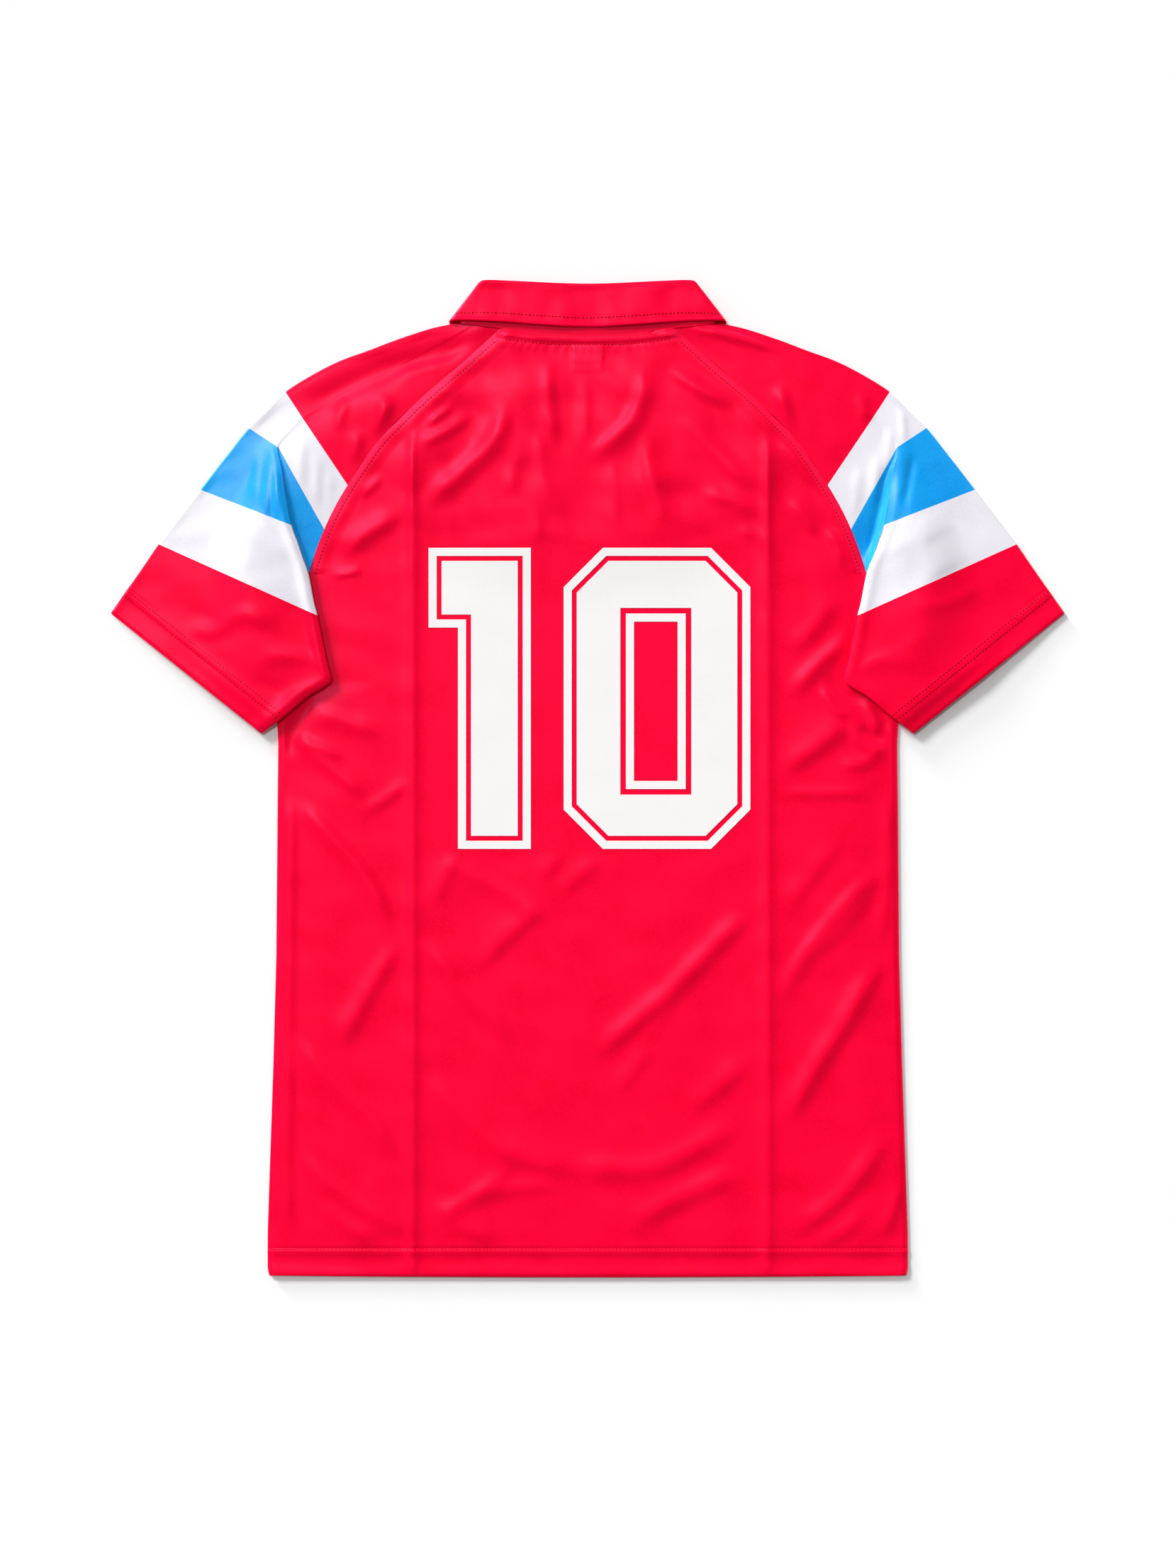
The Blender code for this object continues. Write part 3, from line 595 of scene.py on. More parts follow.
def shiny(name, roughness, specular):
    """A material with a Principled shader: the material, its nodes and the shader."""
    material = bpy.data.materials.new(name)
    material.use_nodes = True
    shader = material.node_tree.nodes["Principled BSDF"]
    shader.inputs["Roughness"].default_value = roughness
    shader.inputs["Specular IOR Level"].default_value = specular
    return material, material.node_tree, shader


def knit(name, colours, turn=0.0, specular=0.21, tint=(1, 1, 1)):
    """A smooth polyester knit. colours are its own and that of its worn and shaded parts,
    turn is the angle of its wales to the centre back, in degrees, and tint the colour of
    its shine."""
    material, tree, shader = shiny(name, KNIT_ROUGHNESS, specular)
    shader.inputs["Specular Tint"].default_value = (*tint, 1)
    place = node(tree, "ShaderNodeTexCoord").outputs["Object"]
    cloth = node(
        tree, "ShaderNodeMapping", {"Vector": place, "Rotation": (0, 0, math.radians(turn))}
    ).outputs["Vector"]

    def texture(kind, inputs, **settings):
        return node(tree, f"ShaderNodeTex{kind}", inputs, **settings).outputs["Fac"]

    def maths(operation, a, b):
        return node(tree, "ShaderNodeMath", {0: a, 1: b}, operation=operation).outputs[0]

    cloud = texture("Noise", {"Vector": place, "Scale": 30.0, "Detail": 5.0, "Roughness": 0.6})
    fibre = texture("Noise", {"Vector": cloth, "Scale": 900.0, "Detail": 2.0})
    ramp = node(tree, "ShaderNodeValToRGB", {"Fac": maths("ADD", cloud, fibre)})
    for stop, position, colour in zip(ramp.color_ramp.elements, WORN_AND_SHADED_RAMP, colours[::-1]):
        stop.position, stop.color = position, (*colour, 1)
    tree.links.new(ramp.outputs["Color"], shader.inputs["Base Color"])
    waves = {"Vector": cloth, "Detail": 1.0}
    wales = texture("Wave", {**waves, "Scale": 260.0, "Distortion": 0.6}, bands_direction="X")
    courses = texture("Wave", {**waves, "Scale": 330.0, "Distortion": 0.4}, bands_direction="Y")
    rough = maths("ADD", fibre, maths("MULTIPLY", wales, courses))
    bump = node(tree, "ShaderNodeBump", {"Height": rough, **BUMP})
    tree.links.new(bump.outputs["Normal"], shader.inputs["Normal"])
    return material


# Each colour, and then that of its worn and shaded parts
RED = (0.945, 0.0011, 0.037), (0.885, 0.0001, 0.026)
RED_HIGHLIGHT_ON_DOUBLING = (0.955, 0.006, 0.055), (0.925, 0.004, 0.047)  # where the cloth lies double, lighter: a painted highlight
COLLAR_RED = (0.915, 0.0006, 0.036), (0.84, 0.0001, 0.025)
THREAD_RED = (0.58, 0.0002, 0.008), (0.5, 0.0001, 0.005)
WHITE = (0.79, 0.765, 0.83), (0.745, 0.72, 0.79)
BLUE = (0.003, 0.34, 0.84), (0.002, 0.28, 0.77)
LABEL_WHITE = (0.8, 0.8, 0.8), (0.75, 0.75, 0.75)
FILM_WHITE = (0.858, 0.841, 0.835), (0.844, 0.827, 0.82)
RED_SHINE = (1, 0.36, 0.78)
red_knit = knit("red_knit", RED, tint=RED_SHINE)
knit_highlight_on_doubling = knit("knit_highlight_on_doubling", RED_HIGHLIGHT_ON_DOUBLING, tint=RED_SHINE)
sleeve_red = {
    hand: knit(f"sleeve_red_{name}", RED, turn=hand * 48, specular=0.18, tint=RED_SHINE)
    for name, hand in (("left", -1), ("right", 1))
}
white_knit = knit("white_knit", WHITE, specular=0.3)
blue_knit = knit("blue_knit", BLUE, specular=0.4)
collar_knit = knit("collar_knit", COLLAR_RED, specular=0.13, tint=RED_SHINE)
label_cloth = knit("label_cloth", LABEL_WHITE, specular=0.1)
thread = knit("thread", THREAD_RED, specular=0.15, tint=RED_SHINE)
number_film = knit("number_film", FILM_WHITE, specular=0.1)


# Meshes
CORNER = 75  # the wall's corners are sharp, in degrees


def place_object(name, data):
    made = bpy.data.objects.new(name, data)
    bpy.context.scene.collection.objects.link(made)
    return made


def to_world(points):
    """(x, up, z) in millimetres as world metres."""
    points = np.asarray(points, float)
    return np.stack([points[:, 0], points[:, 1] + HEM_Y, points[:, 2]], axis=1) * MM


def make_piece(name, points, faces, materials, slots=None, weld=0.0, wall=WALL):
    """A mesh object from points in millimetres, welded and thickened to a wall."""
    mesh = bpy.data.meshes.new(name)
    mesh.from_pydata(to_world(points).tolist(), [], [list(face) for face in faces])
    for material in materials:
        mesh.materials.append(material)
    if slots is not None:
        mesh.polygons.foreach_set("material_index", np.asarray(slots, np.int32))
    bm = bmesh.new()
    bm.from_mesh(mesh)
    if weld:
        bmesh.ops.remove_doubles(bm, verts=bm.verts, dist=weld * MM)
    bmesh.ops.recalc_face_normals(bm, faces=bm.faces)
    bm.to_mesh(mesh)
    bm.free()
    mesh.shade_smooth()
    piece = place_object(name, mesh)
    if wall:
        solid = piece.modifiers.new("wall", "SOLIDIFY")
        solid.thickness = wall * MM
        solid.offset = 0.0
        depsgraph = bpy.context.evaluated_depsgraph_get()
        piece.data = bpy.data.meshes.new_from_object(piece.evaluated_get(depsgraph))
        piece.modifiers.clear()
        piece.data.set_sharp_from_angle(angle=math.radians(CORNER))
        piece.data.name = name
        bpy.data.meshes.remove(mesh)
    return piece


def grid_faces(rows, columns):
    """The faces of a grid of points that are numbered row by row."""
    index = np.arange(rows * columns).reshape(rows, columns)
    corners = (index[:-1, :-1], index[:-1, 1:], index[1:, 1:], index[1:, :-1])
    return np.stack([corner.ravel() for corner in corners], axis=1)


def joined(parts):
    """The points and faces of several meshes as those of one."""
    points, faces, count = [], [], 0
    for part, part_faces in parts:
        points.append(part)
        faces += [tuple(i + count for i in face) for face in part_faces]
        count += len(part)
    return np.concatenate(points), faces


WELD = 0.02  # points closer than this are one point, in a sleeve and the collar
EDGE_INSETS = [0, 0.5, 1.2, 2.0, 3.0, 4.0, 4.7, 5.4, 6.4, 8.0, 10.5, 14.0]
HIGHLIGHTED_COLUMNS = EDGE_INSETS.index(6.4)  # up to here the cloth lies double along the raglan seam, with a painted highlight
COLUMN_SPACING = 3.15
ROW_SPACING = 3.3
FRONT_ROW_SPACING = 7.0
NARROW_HALF = 200.0  # above this width the press creases have columns of their own
NECK_ROWS = [0, 1.0, 2.0, 3.2, 4.4, 5.6, 6.4, 7.2, 8.0, 8.8, 10.0, 11.6, 13.6]
NECK_ROWS_END = 15.6  # how far down the seam the even rows begin
HEM_ROWS = [24.5, 23.2, 22.4, 21.6, 20.8, 19.6, 17.5, 15, 12.5, 10, 8, 6, 4, 2.8, 1.5]


def panel_columns(half, slant):
    """The x of each column of a row, closer together at its ends. slant is how much
    further in a row reaches for the same distance from the edge."""
    insets = np.array(EDGE_INSETS) * min(slant, 0.4 * half / EDGE_INSETS[-1])
    inner = half - insets[-1]
    scale = min(1.0, half / NARROW_HALF)
    marks = [-inner, PRESS_CREASES[0] * scale, PRESS_CREASES[1] * scale, inner]
    wide = side(200.0) - EDGE_INSETS[-1]
    full = [-wide, *PRESS_CREASES, wide]
    stretches = []
    for (a, b), (p, q) in zip(zip(marks, marks[1:]), zip(full, full[1:])):
        count = round((q - p) / COLUMN_SPACING)
        stretches.append(np.linspace(a, b, count + 1)[1:])
    middle = np.concatenate(stretches)[:-1]
    return np.concatenate([insets - half, middle, (half - insets)[::-1]])


def panel_grid(neck, first, height, neck_keep, spacing):
    """A body panel: rows down the raglan seam, then down the side seam. Gives its points, its
    faces and whether each face gets the lighter colour of a painted highlight, on the two
    layers along the raglan seams and on the label's upper part."""
    neck_outs, neck_ups = (np.array(column) for column in zip(*neck))
    stations = np.linspace(first, HIDDEN_SEAM_END, 1200)
    reach = reach_of(np.array([raglan(s, -SEAM_GAP / 2) for s in stations]))
    even = np.linspace(NECK_ROWS_END, reach[-1], int(reach[-1] / spacing))
    marks = np.concatenate([NECK_ROWS, even])
    xs, ups = [], []
    for mark in marks:
        s = np.interp(mark, reach, stations)
        edge_out, edge_up = raglan(s, -SEAM_GAP / 2)
        after = raglan(min(s + 0.1, RAGLAN_TURN), 0)
        before = raglan(min(s, RAGLAN_TURN) - 0.1, 0)
        slant = math.dist(before, after) / max(abs(after[1] - before[1]), 1e-3)
        row = panel_columns(edge_out, min(slant, 1.8))
        dip = np.interp(np.abs(row) / edge_out * neck_outs[-1], neck_outs, neck_ups)
        xs.append(row)
        ups.append(edge_up + (dip - neck_ups[-1]) * neck_keep(neck_ups[-1] - edge_up))
    top = RAGLAN[-1][1]
    body = np.linspace(top, HEM_DEPTH + 4, int((top - HEM_DEPTH) / spacing))
    for up in np.concatenate([body, HEM_ROWS]):
        half = float(side(up))
        row = panel_columns(half, 1.0)
        sag = SIDE_SEAM[-1][1] * (1 - (row / half) ** 2) * smooth(1 - up / HEM_DEPTH)
        xs.append(row)
        ups.append(up - sag)
    xs, ups = np.array(xs), np.array(ups)
    points = np.stack([xs, ups, height(xs, ups)], axis=-1)
    # the lighter colour, a painted highlight, on the two layers along both raglan seams
    highlighted = np.zeros((len(xs) - 1, len(xs[0]) - 1), bool)
    highlighted[2 : len(marks), :HIGHLIGHTED_COLUMNS] = highlighted[2 : len(marks), -HIGHLIGHTED_COLUMNS:] = True
    # and on the upper part of the label's imprint, a painted highlight as if it faced the light
    wide, high = LABEL_SIZE
    mid_x = (xs[:-1, :-1] + xs[1:, 1:]) / 2
    mid_up = (ups[:-1, :-1] + ups[1:, 1:]) / 2
    within = (mid_up < LABEL_TOP) & (mid_up > LABEL_TOP - high * 0.6)
    highlighted |= (np.abs(mid_x) < wide / 2) & within
    return points.reshape(-1, 3), grid_faces(*xs.shape), highlighted.ravel()


def make_back():
    def keep(down):
        return 1 - smooth(down / 120)

    points, faces, highlighted = panel_grid(BACK_NECK, 0.0, back_height, keep, ROW_SPACING)
    return make_piece("back_panel", points, faces, [red_knit, knit_highlight_on_doubling], highlighted)


def make_front():
    def keep(down):
        return 1 - min(max(down, 0) / 100, 1)

    points, faces, _ = panel_grid(FRONT_NECK, 1.0, front_height, keep, FRONT_ROW_SPACING)
    return make_piece("front_panel", points, faces, [red_knit])


# The sleeves
SLEEVE_SPACING = 2.6
TIP_LIFT_FROM = 10.0
ARMPIT_CLEARANCE = 3.0
FLAP_RISE_START = 0.45
TIP_FULL = 0.58  # at the flap's tip its rise ends above the body's edge
FULL_FROM = 9.0  # the station where that starts
CUFF_SEAM_IN = 14.0
RAMP = (5.0, 10.0)  # how far beyond the side cloth begins to come down, and reaches the floor
BOTTOM_SHARES = np.linspace(0, 0.97, 22)
TOP_SHARES = (1 - np.cos(np.linspace(0.10, math.pi - 0.06, 62))) / 2
FOOT_SHARES = np.linspace(0.08, 1, 14)
OVERARM_ANGLES = (-90, -60, -30, 0, 30, 60, 90)
FACE_ANGLES = (70, 35, 0, -35, -70)
SWELL_LENGTH = 110.0  # a shorter section swells less
STEP_FACE = {-1: 0.95, 1: 0.15}  # how much of the flap's step is sheer above its tip
STEP_FALL = {-1: 10.0, 1: 17.0}  # how far beyond it the rest of the step reaches
FOLD_FROM = 8  # the row where the flap's fold begins
FLAP_ROLL = {-1: 1.4, 1: 0.5}  # how far the fold stands up along the flap's edge
FLAP_ROLL_WIDTH = 5.0
OVERARM_COLUMN = len(BOTTOM_SHARES) + 3
TOP_START = len(BOTTOM_SHARES) + len(OVERARM_ANGLES)
BANDS = {"neck": 0, "white": 1, "blue": 2, "red": 0}  # the material from each named row on
CUFF = [np.array(point) for point in SLEEVE_ROWS[-1][1:3]]
CUFF_ALONG = (CUFF[1] - CUFF[0]) / math.dist(*CUFF)
CUFF_NORMAL = np.array((CUFF_ALONG[1], -CUFF_ALONG[0]))  # points up the sleeve


def on_body(out, up):
    """The height of cloth that lies on the back, and comes down to the floor beside it."""
    near, far = RAMP
    down = np.clip((out - side(up) - near) / (far - near), 0, 1)
    return BACK_MID + LAYER - down * 2 * LAYER


def sleeve_section(row, hand, folded):
    """One section of a sleeve, from the front seam under and over to the back seam, as
    (out, up, z), and how many of its points come before the foot, below the flap's face.

    A folded section comes back under itself at the flap, and lies on the back there."""
    _, overarm, flap, step, back, front = row
    closed = back > len(RAGLAN)  # below the armpit its two ends are one seam
    if closed:
        seam = np.array((side(back) + ARMPIT_CLEARANCE, back))
        if seam[0] < flap[0] + CUFF_SEAM_IN:
            seam = inward(flap, overarm, CUFF_SEAM_IN)
        front_end = back_end = seam
    else:
        front_end = raglan(front, SEAM_GAP / 2)
        back_end = raglan(HIDDEN_SEAM_END if folded else back, SEAM_GAP / 2)
    over = inward(overarm, flap, WALL / 2 + FOLD_RADIUS)
    outer = np.subtract(overarm, flap) / math.dist(overarm, flap)
    points = []
    for share in BOTTOM_SHARES:
        out, up = mix(front_end, over, share)
        z = FRONT_MID + neck_lift(out, up)
        if closed:
            down = smooth((out - seam[0]) / (RAMP[1] - ARMPIT_CLEARANCE + 6))
            z = mix(on_body(*seam), FRONT_MID, down)
        points.append((out, up, z))
    lift = neck_lift(*over)
    for degrees in OVERARM_ANGLES:
        a = math.radians(degrees)
        out, up = over + outer * FOLD_RADIUS * math.cos(a)
        points.append((out, up, FRONT_MID + lift + FOLD_RADIUS * (1 + math.sin(a))))
    top_end = inward(flap, overarm, WALL / 2 + FOLD_RADIUS)
    roll = FLAP_ROLL[hand] * min(step / 4, 1)
    foot_height = back_base(hand * back_end[0], back_end[1])
    foot_height += LAYER * smooth((back - TIP_LIFT_FROM) / (RAGLAN_TURN - TIP_LIFT_FROM))
    full = min(1.0, (overarm[0] - back_end[0] - 2) / (overarm[0] - flap[0]))
    if not folded:
        full = mix(1.0, TIP_FULL, smooth((back - FULL_FROM) / (RAGLAN_TURN - FULL_FROM)))
    start = FLAP_RISE_START * full
    top_length = math.dist(over, top_end)
    length = top_length + (0 if folded else math.dist(flap, back_end))
    swell = SLEEVE_SWELL[hand] * min(1.0, length / SWELL_LENGTH)

    def open_height(reached):
        """The top layer's height this far from the overarm, without the flap's step."""
        share = min(reached / length, 1.0)
        low = BACK_MID + lift
        high = max(low, on_body(*flap)) if folded else foot_height
        return mix(low, high, smooth(share)) + swell * math.sin(math.pi * share) ** 2

    for share in TOP_SHARES:
        out, up = mix(over, top_end, share)
        rise = step * smooth((share - start) / (full - start))
        rise += roll * bell(((1 - share) * top_length - FLAP_ROLL_WIDTH) / FLAP_ROLL_WIDTH)
        points.append((out, up, open_height(top_length * share) + rise))
    crest = open_height(top_length) + step + roll * 0.4
    if folded:
        foot = on_body(*flap)
        crest = max(crest, foot + LAYER)
        foot_start = top_end
    else:
        foot = crest - step * STEP_FACE[hand]
        foot_start = inward(flap, back_end, min(1.4, math.dist(flap, back_end) / 3))
    half, middle = (crest - foot) / 2, (crest + foot) / 2
    rim = inward(flap, overarm, WALL / 2)
    for degrees in FACE_ANGLES:
        a = math.radians(degrees)
        out, up = mix(top_end if degrees >= 0 else foot_start, rim, math.cos(a))
        points.append((out, up, middle + half * math.sin(a)))
    shared = len(points)
    points.append((*foot_start, foot))
    for share in FOOT_SHARES:
        out, up = mix(foot_start, back_end, share)
        if closed and share < 1 and flap[0] < side(up) - 2:
            out = min(out, side(up) - 0.5)
        height = on_body(out, up)
        if not folded:
            height = open_height(top_length + share * (length - top_length))
            fallen = share * (length - top_length) / min(STEP_FALL[hand], length - top_length)
            height += (foot - open_height(top_length)) * (1 - smooth(fallen))
        points.append((out, up, height))
    if closed:
        points[-1] = points[0]
    return np.array(points, float), shared


def between(sections, starts, spacing, column, fine_from=math.inf, fine=1.0):
    """Sections at an even spacing along one column, on a spline through the given ones.
    Gives the sections and, for each, the number of the given section that it follows."""
    made, numbers = [], []
    for k in range(len(sections) - 1):
        length = np.linalg.norm(sections[k + 1][column] - sections[k][column])
        parts = max(int(round(length / (spacing if k < fine_from else fine))), 2)
        for j in range(parts):
            made.append(spline(sections, k + j / parts))
            numbers.append(starts + k)
    made.append(np.array(sections[-1]))
    numbers.append(starts + len(sections) - 1)
    return np.array(made), np.array(numbers)


def sleeve_relief(x, up, hand, creases):
    """What the creases, the seam and the cuff add to a sleeve's upper side."""
    out = np.abs(x)
    seam, _ = raglan_distance(out, up)
    overarm, _, _ = nearest(out, up, [row[1] for row in SLEEVE_ROWS])
    free = smooth((np.abs(overarm) - 1.0) / 6) * smooth(seam / 13)
    height = crease_height(x, up, creases) + SLEEVE_MOTTLE * mottle(x, up, 9 + hand)
    inside = (out - CUFF[0][0]) * CUFF_NORMAL[0] + (up - CUFF[0][1]) * CUFF_NORMAL[1]
    cuff = CUFF_RELIEF[hand] * hem_relief(np.abs(inside))
    return height * free + cuff - 0.06 * bell(seam)


def make_sleeve(name, hand, creases):
    """Two grids that meet in the section at the flap's tip, where the seam goes under."""
    above = [sleeve_section(row, hand, False)[0] for row in SLEEVE_ROWS[: TIP_ROW + 1]]
    sections = [sleeve_section(row, hand, True) for row in SLEEVE_ROWS[TIP_ROW:]]
    below, shared = [section for section, _ in sections], sections[0][1]
    tip, rest = below[0], len(above[0]) - shared
    above[-1] = np.concatenate([tip[:shared], np.repeat(tip[[shared - 3]], rest, axis=0)])
    whole = [section[:shared] for section in above[:-1] + below]
    hem = ROW_NAMES.index("hem")
    top, numbers = between(whole, 0, SLEEVE_SPACING, OVERARM_COLUMN, hem - 1)
    split = int(np.argmax(numbers == TIP_ROW))
    starts = [(k, BANDS[row_name]) for k, row_name in enumerate(ROW_NAMES) if row_name in BANDS]
    face = np.linspace(1, 0, len(FACE_ANGLES) + 2)[1:-1]
    parts, slots = [], []
    for part, first, last in ((above, 0, TIP_ROW), (below, TIP_ROW, len(whole) - 1)):
        feet = [section[shared:] for section in part]
        foot = []
        for k in range(first, last):
            count = int(np.sum(numbers == k))
            foot += [spline(feet, k - first + j / count) for j in range(count)]
        foot = np.array(foot + [feet[-1]])
        here = slice(split if part is below else 0, None)
        follows = numbers[here][: len(foot)]
        rows = np.concatenate([top[here][: len(foot)], foot], axis=1)
        x, up, z = hand * rows[..., 0], rows[..., 1], rows[..., 2]
        weight = np.zeros(x.shape)
        weight[:, TOP_START:] = 1.0
        turned = smooth((follows - FOLD_FROM) / 4)[:, None]
        weight[:, shared - len(face) : shared] = 1 + (face - 1) * turned
        if part is below:
            weight[:, shared:] = 0.0
        z = np.maximum(z + sleeve_relief(x, up, hand, creases) * weight, WALL / 2 + 0.1)
        slot = np.array([[band for k, band in starts if k <= n][-1] for n in follows[:-1]])
        slot = np.repeat(slot[:, None], x.shape[1] - 1, axis=1)
        if part is above:
            z[-1, shared:] = z[-1, shared - 3]
            slot[follows[:-1] >= ROW_NAMES.index("blue"), shared - 4 :] = BANDS["blue"]
        parts.append((np.stack([x, up, z], axis=-1).reshape(-1, 3), grid_faces(*x.shape)))
        slots.append(slot.ravel())
    materials = [sleeve_red[hand], white_knit, blue_knit]
    return make_piece(name, *joined(parts), materials, np.concatenate(slots), weld=WELD)


# The collar
COLLAR_SPACING = 2.2
STAND_SHARES = np.linspace(0, 0.97, 9)
FOLD_ANGLES = (160, 135, 110, 90, 70, 45, 20)
RIM_SHARES = [0.905, 0.925, 0.945, 0.96, 0.975, 0.99, 1.0]
LEAF_SHARES = np.concatenate([np.linspace(0.03, 0.88, 21), RIM_SHARES])
LEAF_START = len(STAND_SHARES) + len(FOLD_ANGLES)
LEAF_LIFT = 1.35  # the leaf's edge stands off the back
LEAF_RIM = 0.5  # its turned-in edge is thicker


def collar_section(row):
    """One section of the collar, from the seam over the fold to the leaf's edge."""
    turn, seam, fold, edge = row
    level, sideways = math.sin(math.radians(turn)), math.cos(math.radians(turn))
    stand_radius, leaf_radius = LAYER / 2, 1.5 * LAYER
    top = inward(fold, seam, WALL / 2 + FOLD_RADIUS)
    rise = np.subtract(top, seam)
    rise = rise / np.linalg.norm(rise)
    points = [(*mix(seam, top, share), stand_radius) for share in STAND_SHARES]
    for degrees in FOLD_ANGLES:
        a = math.radians(degrees)
        radius = (stand_radius + leaf_radius) / 2 + FOLD_RADIUS * math.cos(a)
        points.append((*(top + rise * FOLD_RADIUS * math.sin(a)), radius))
    points += [(*mix(top, edge, share), leaf_radius) for share in LEAF_SHARES]
    return np.array(
        [
            (out + (radius - leaf_radius) * sideways, up, RING_MID + radius * level)
            for out, up, radius in points
        ]
    )


def collar_grid():
    half = [collar_section(row) for row in COLLAR_ROWS]
    left = [section * (-1, 1, 1) for section in reversed(half)]
    rows, _ = between(left + half[1:], 0, COLLAR_SPACING, -1)
    backs = smooth((rows[:, -1, 2] - RING_MID) / (1.5 * LAYER))[:, None]
    x, up, z = rows[..., 0], rows[..., 1], rows[..., 2].copy()
    z[:, : len(STAND_SHARES)] += NECK_RAISE * (1 - smooth(STAND_SHARES / 0.9)) * backs
    leaf = slice(LEAF_START, None)
    share = LEAF_SHARES[None, :]
    lift = LEAF_LIFT * smooth((share - 0.15) / 0.85)
    lift = lift + mottle(x[:, leaf], up[:, leaf], 21) * smooth(share / 0.2)
    lift = lift + LEAF_RIM * bell((share - 0.965) / 0.035)
    pucker = puckers(x[:, leaf], 0.8, 2, 0.1)
    lift = lift + (0.2 * pucker - 0.16) * bell((share - 0.8) / 0.04)
    z[:, leaf] += lift * backs
    return np.stack([x, up, z], axis=-1)


def make_collar(rows):
    faces = grid_faces(*rows.shape[:2])
    return make_piece("collar_cloth", rows.reshape(-1, 3), faces, [collar_knit], weld=WELD)


def make_label():
    wide, high = LABEL_SIZE
    across, down = np.linspace(-wide / 2, wide / 2, 13), np.linspace(0, high, 11)
    xs, ups = np.meshgrid(across, LABEL_TOP - down)
    z = back_base(xs, ups) - WALL / 2 - LABEL_DEPTH
    points = np.stack([xs, ups, z], axis=-1).reshape(-1, 3)
    return make_piece("label", points, grid_faces(*xs.shape), [label_cloth], wall=LABEL_WALL)


# Sewing


def stitch_faces():
    """The faces of one stitch, a row of rings with an end at each."""
    sides, last = STITCH_SIDES, (len(STITCH_BOW) - 1) * STITCH_SIDES
    faces = []
    for ring in range(0, last, sides):
        for j in range(sides):
            a, b = ring + j, ring + (j + 1) % sides
            faces.append((a, b, b + sides, a + sides))
    return faces + [tuple(range(sides - 1, -1, -1)), tuple(range(last, last + sides))]


def stitch_run(path):
    """Stitches along a path of (x, up, z), each a short bowed thread: points and faces."""
    path = np.asarray(path, float)
    reach = reach_of(path)
    turns = np.arange(STITCH_SIDES) * 2 * math.pi / STITCH_SIDES
    run = []
    for start in np.arange(0.4, reach[-1] - STITCH_LENGTH, STITCH_PITCH):
        spine = points_at(path, reach, start + np.linspace(0, STITCH_LENGTH, len(STITCH_BOW)))
        along = spine[-1] - spine[0]
        along = along / np.linalg.norm(along)
        beside = np.cross(along, (0, 0, 1))
        over = np.cross(beside, along)
        circle = np.cos(turns)[:, None] * beside + np.sin(turns)[:, None] * over
        rings = [
            point + over * bow + taper * STITCH_RADIUS * circle
            for point, bow, taper in zip(spine, STITCH_BOW, STITCH_TAPER)
        ]
        run.append((np.concatenate(rings), stitch_faces()))
    return joined(run)


def make_stitches(name, paths):
    return make_piece(name, *joined(stitch_run(path) for path in paths), [thread], wall=0)


def on_back(plan):
    """A plan path laid on the back's outer face."""
    plan = evenly(plan, PATH_STEP)
    return np.column_stack([plan, back_height(plan[:, 0], plan[:, 1]) + WALL / 2])


def on_piece(plan, piece):
    """A plan path laid on the top of a piece, where the piece is."""
    solid = piece.evaluated_get(bpy.context.evaluated_depsgraph_get())
    points = []
    for x, up in evenly(plan, PATH_STEP):
        hit, place, _, _ = solid.ray_cast((x * MM, (up + HEM_Y) * MM, 0.1), (0, 0, -1))
        if hit:
            points.append((x, up, place[2] / MM))
    return np.array(points)


def back_runs():
    """The hem's stitches, the neck's and those of both raglan seams, laid on the back."""
    half = side(HEM_DEPTH) - 1
    hem = [(x, HEM_DEPTH) for x in np.linspace(-half, half, 9)]
    outs = np.linspace(-NECK_STITCHED, NECK_STITCHED, 40)
    neck = [(x, neck_up(x) - NECK_STITCH_IN) for x in outs]
    seam = [raglan(s, -RAGLAN_STITCH_IN) for s in np.linspace(*RAGLAN_STITCHED, 70)]
    return [on_back(run) for run in (hem, neck, np.multiply(seam, (-1, 1)), seam)]


def cuff_runs(hand, sleeve):
    """A cuff's needle rows, laid on its sleeve."""
    runs = []
    for needle in CUFF_NEEDLES:
        start = CUFF[0] + CUFF_NORMAL * needle - CUFF_ALONG * CUFF_BEYOND[0]
        end = CUFF[1] + CUFF_NORMAL * needle + CUFF_ALONG * CUFF_BEYOND[1]
        plan = np.array([mix(start, end, t) for t in (0, 0.5, 1)]) * (hand, 1)
        runs.append(on_piece(plan, sleeve))
    return runs


def leaf_run(rows, piece):
    """The stitches along the edge of the collar's leaf, where it lies on the back."""
    plan = []
    for leaf in rows[:, LEAF_START:]:
        if leaf[-1][2] > RING_MID + 1.4 * LAYER:
            share = 1 - LEAF_STITCH_IN / math.dist(leaf[0][:2], leaf[-1][:2])
            plan.append([np.interp(share, LEAF_SHARES, leaf[:, k]) for k in range(2)])
    return on_piece(plan, piece)


# The number


def inset(outline, distance):
    """A straight-edged outline, anticlockwise, moved in by a distance."""
    points = [np.array(point, float) for point in outline]
    lines = []
    for a, b in zip(points, points[1:] + points[:1]):
        along = (b - a) / np.linalg.norm(b - a)
        lines.append((a + distance * np.array((-along[1], along[0])), along))
    made = []
    for (p, u), (q, v) in zip(lines[-1:] + lines[:-1], lines):
        t = ((q[0] - p[0]) * v[1] - (q[1] - p[1]) * v[0]) / (u[0] * v[1] - u[1] * v[0])
        made.append(p + t * u)
    return made


def inside(x, y, outline):
    """Whether each point is inside the outline, by counting the edges to its right."""
    odd = np.zeros(np.shape(x), bool)
    for (ax, ay), (bx, by) in zip(outline, outline[1:] + outline[:1]):
        spans = (ay > y) != (by > y)
        slope = (bx - ax) / (by - ay) if by != ay else 0.0
        odd ^= spans & (x < ax + (y - ay) * slope)
    return odd


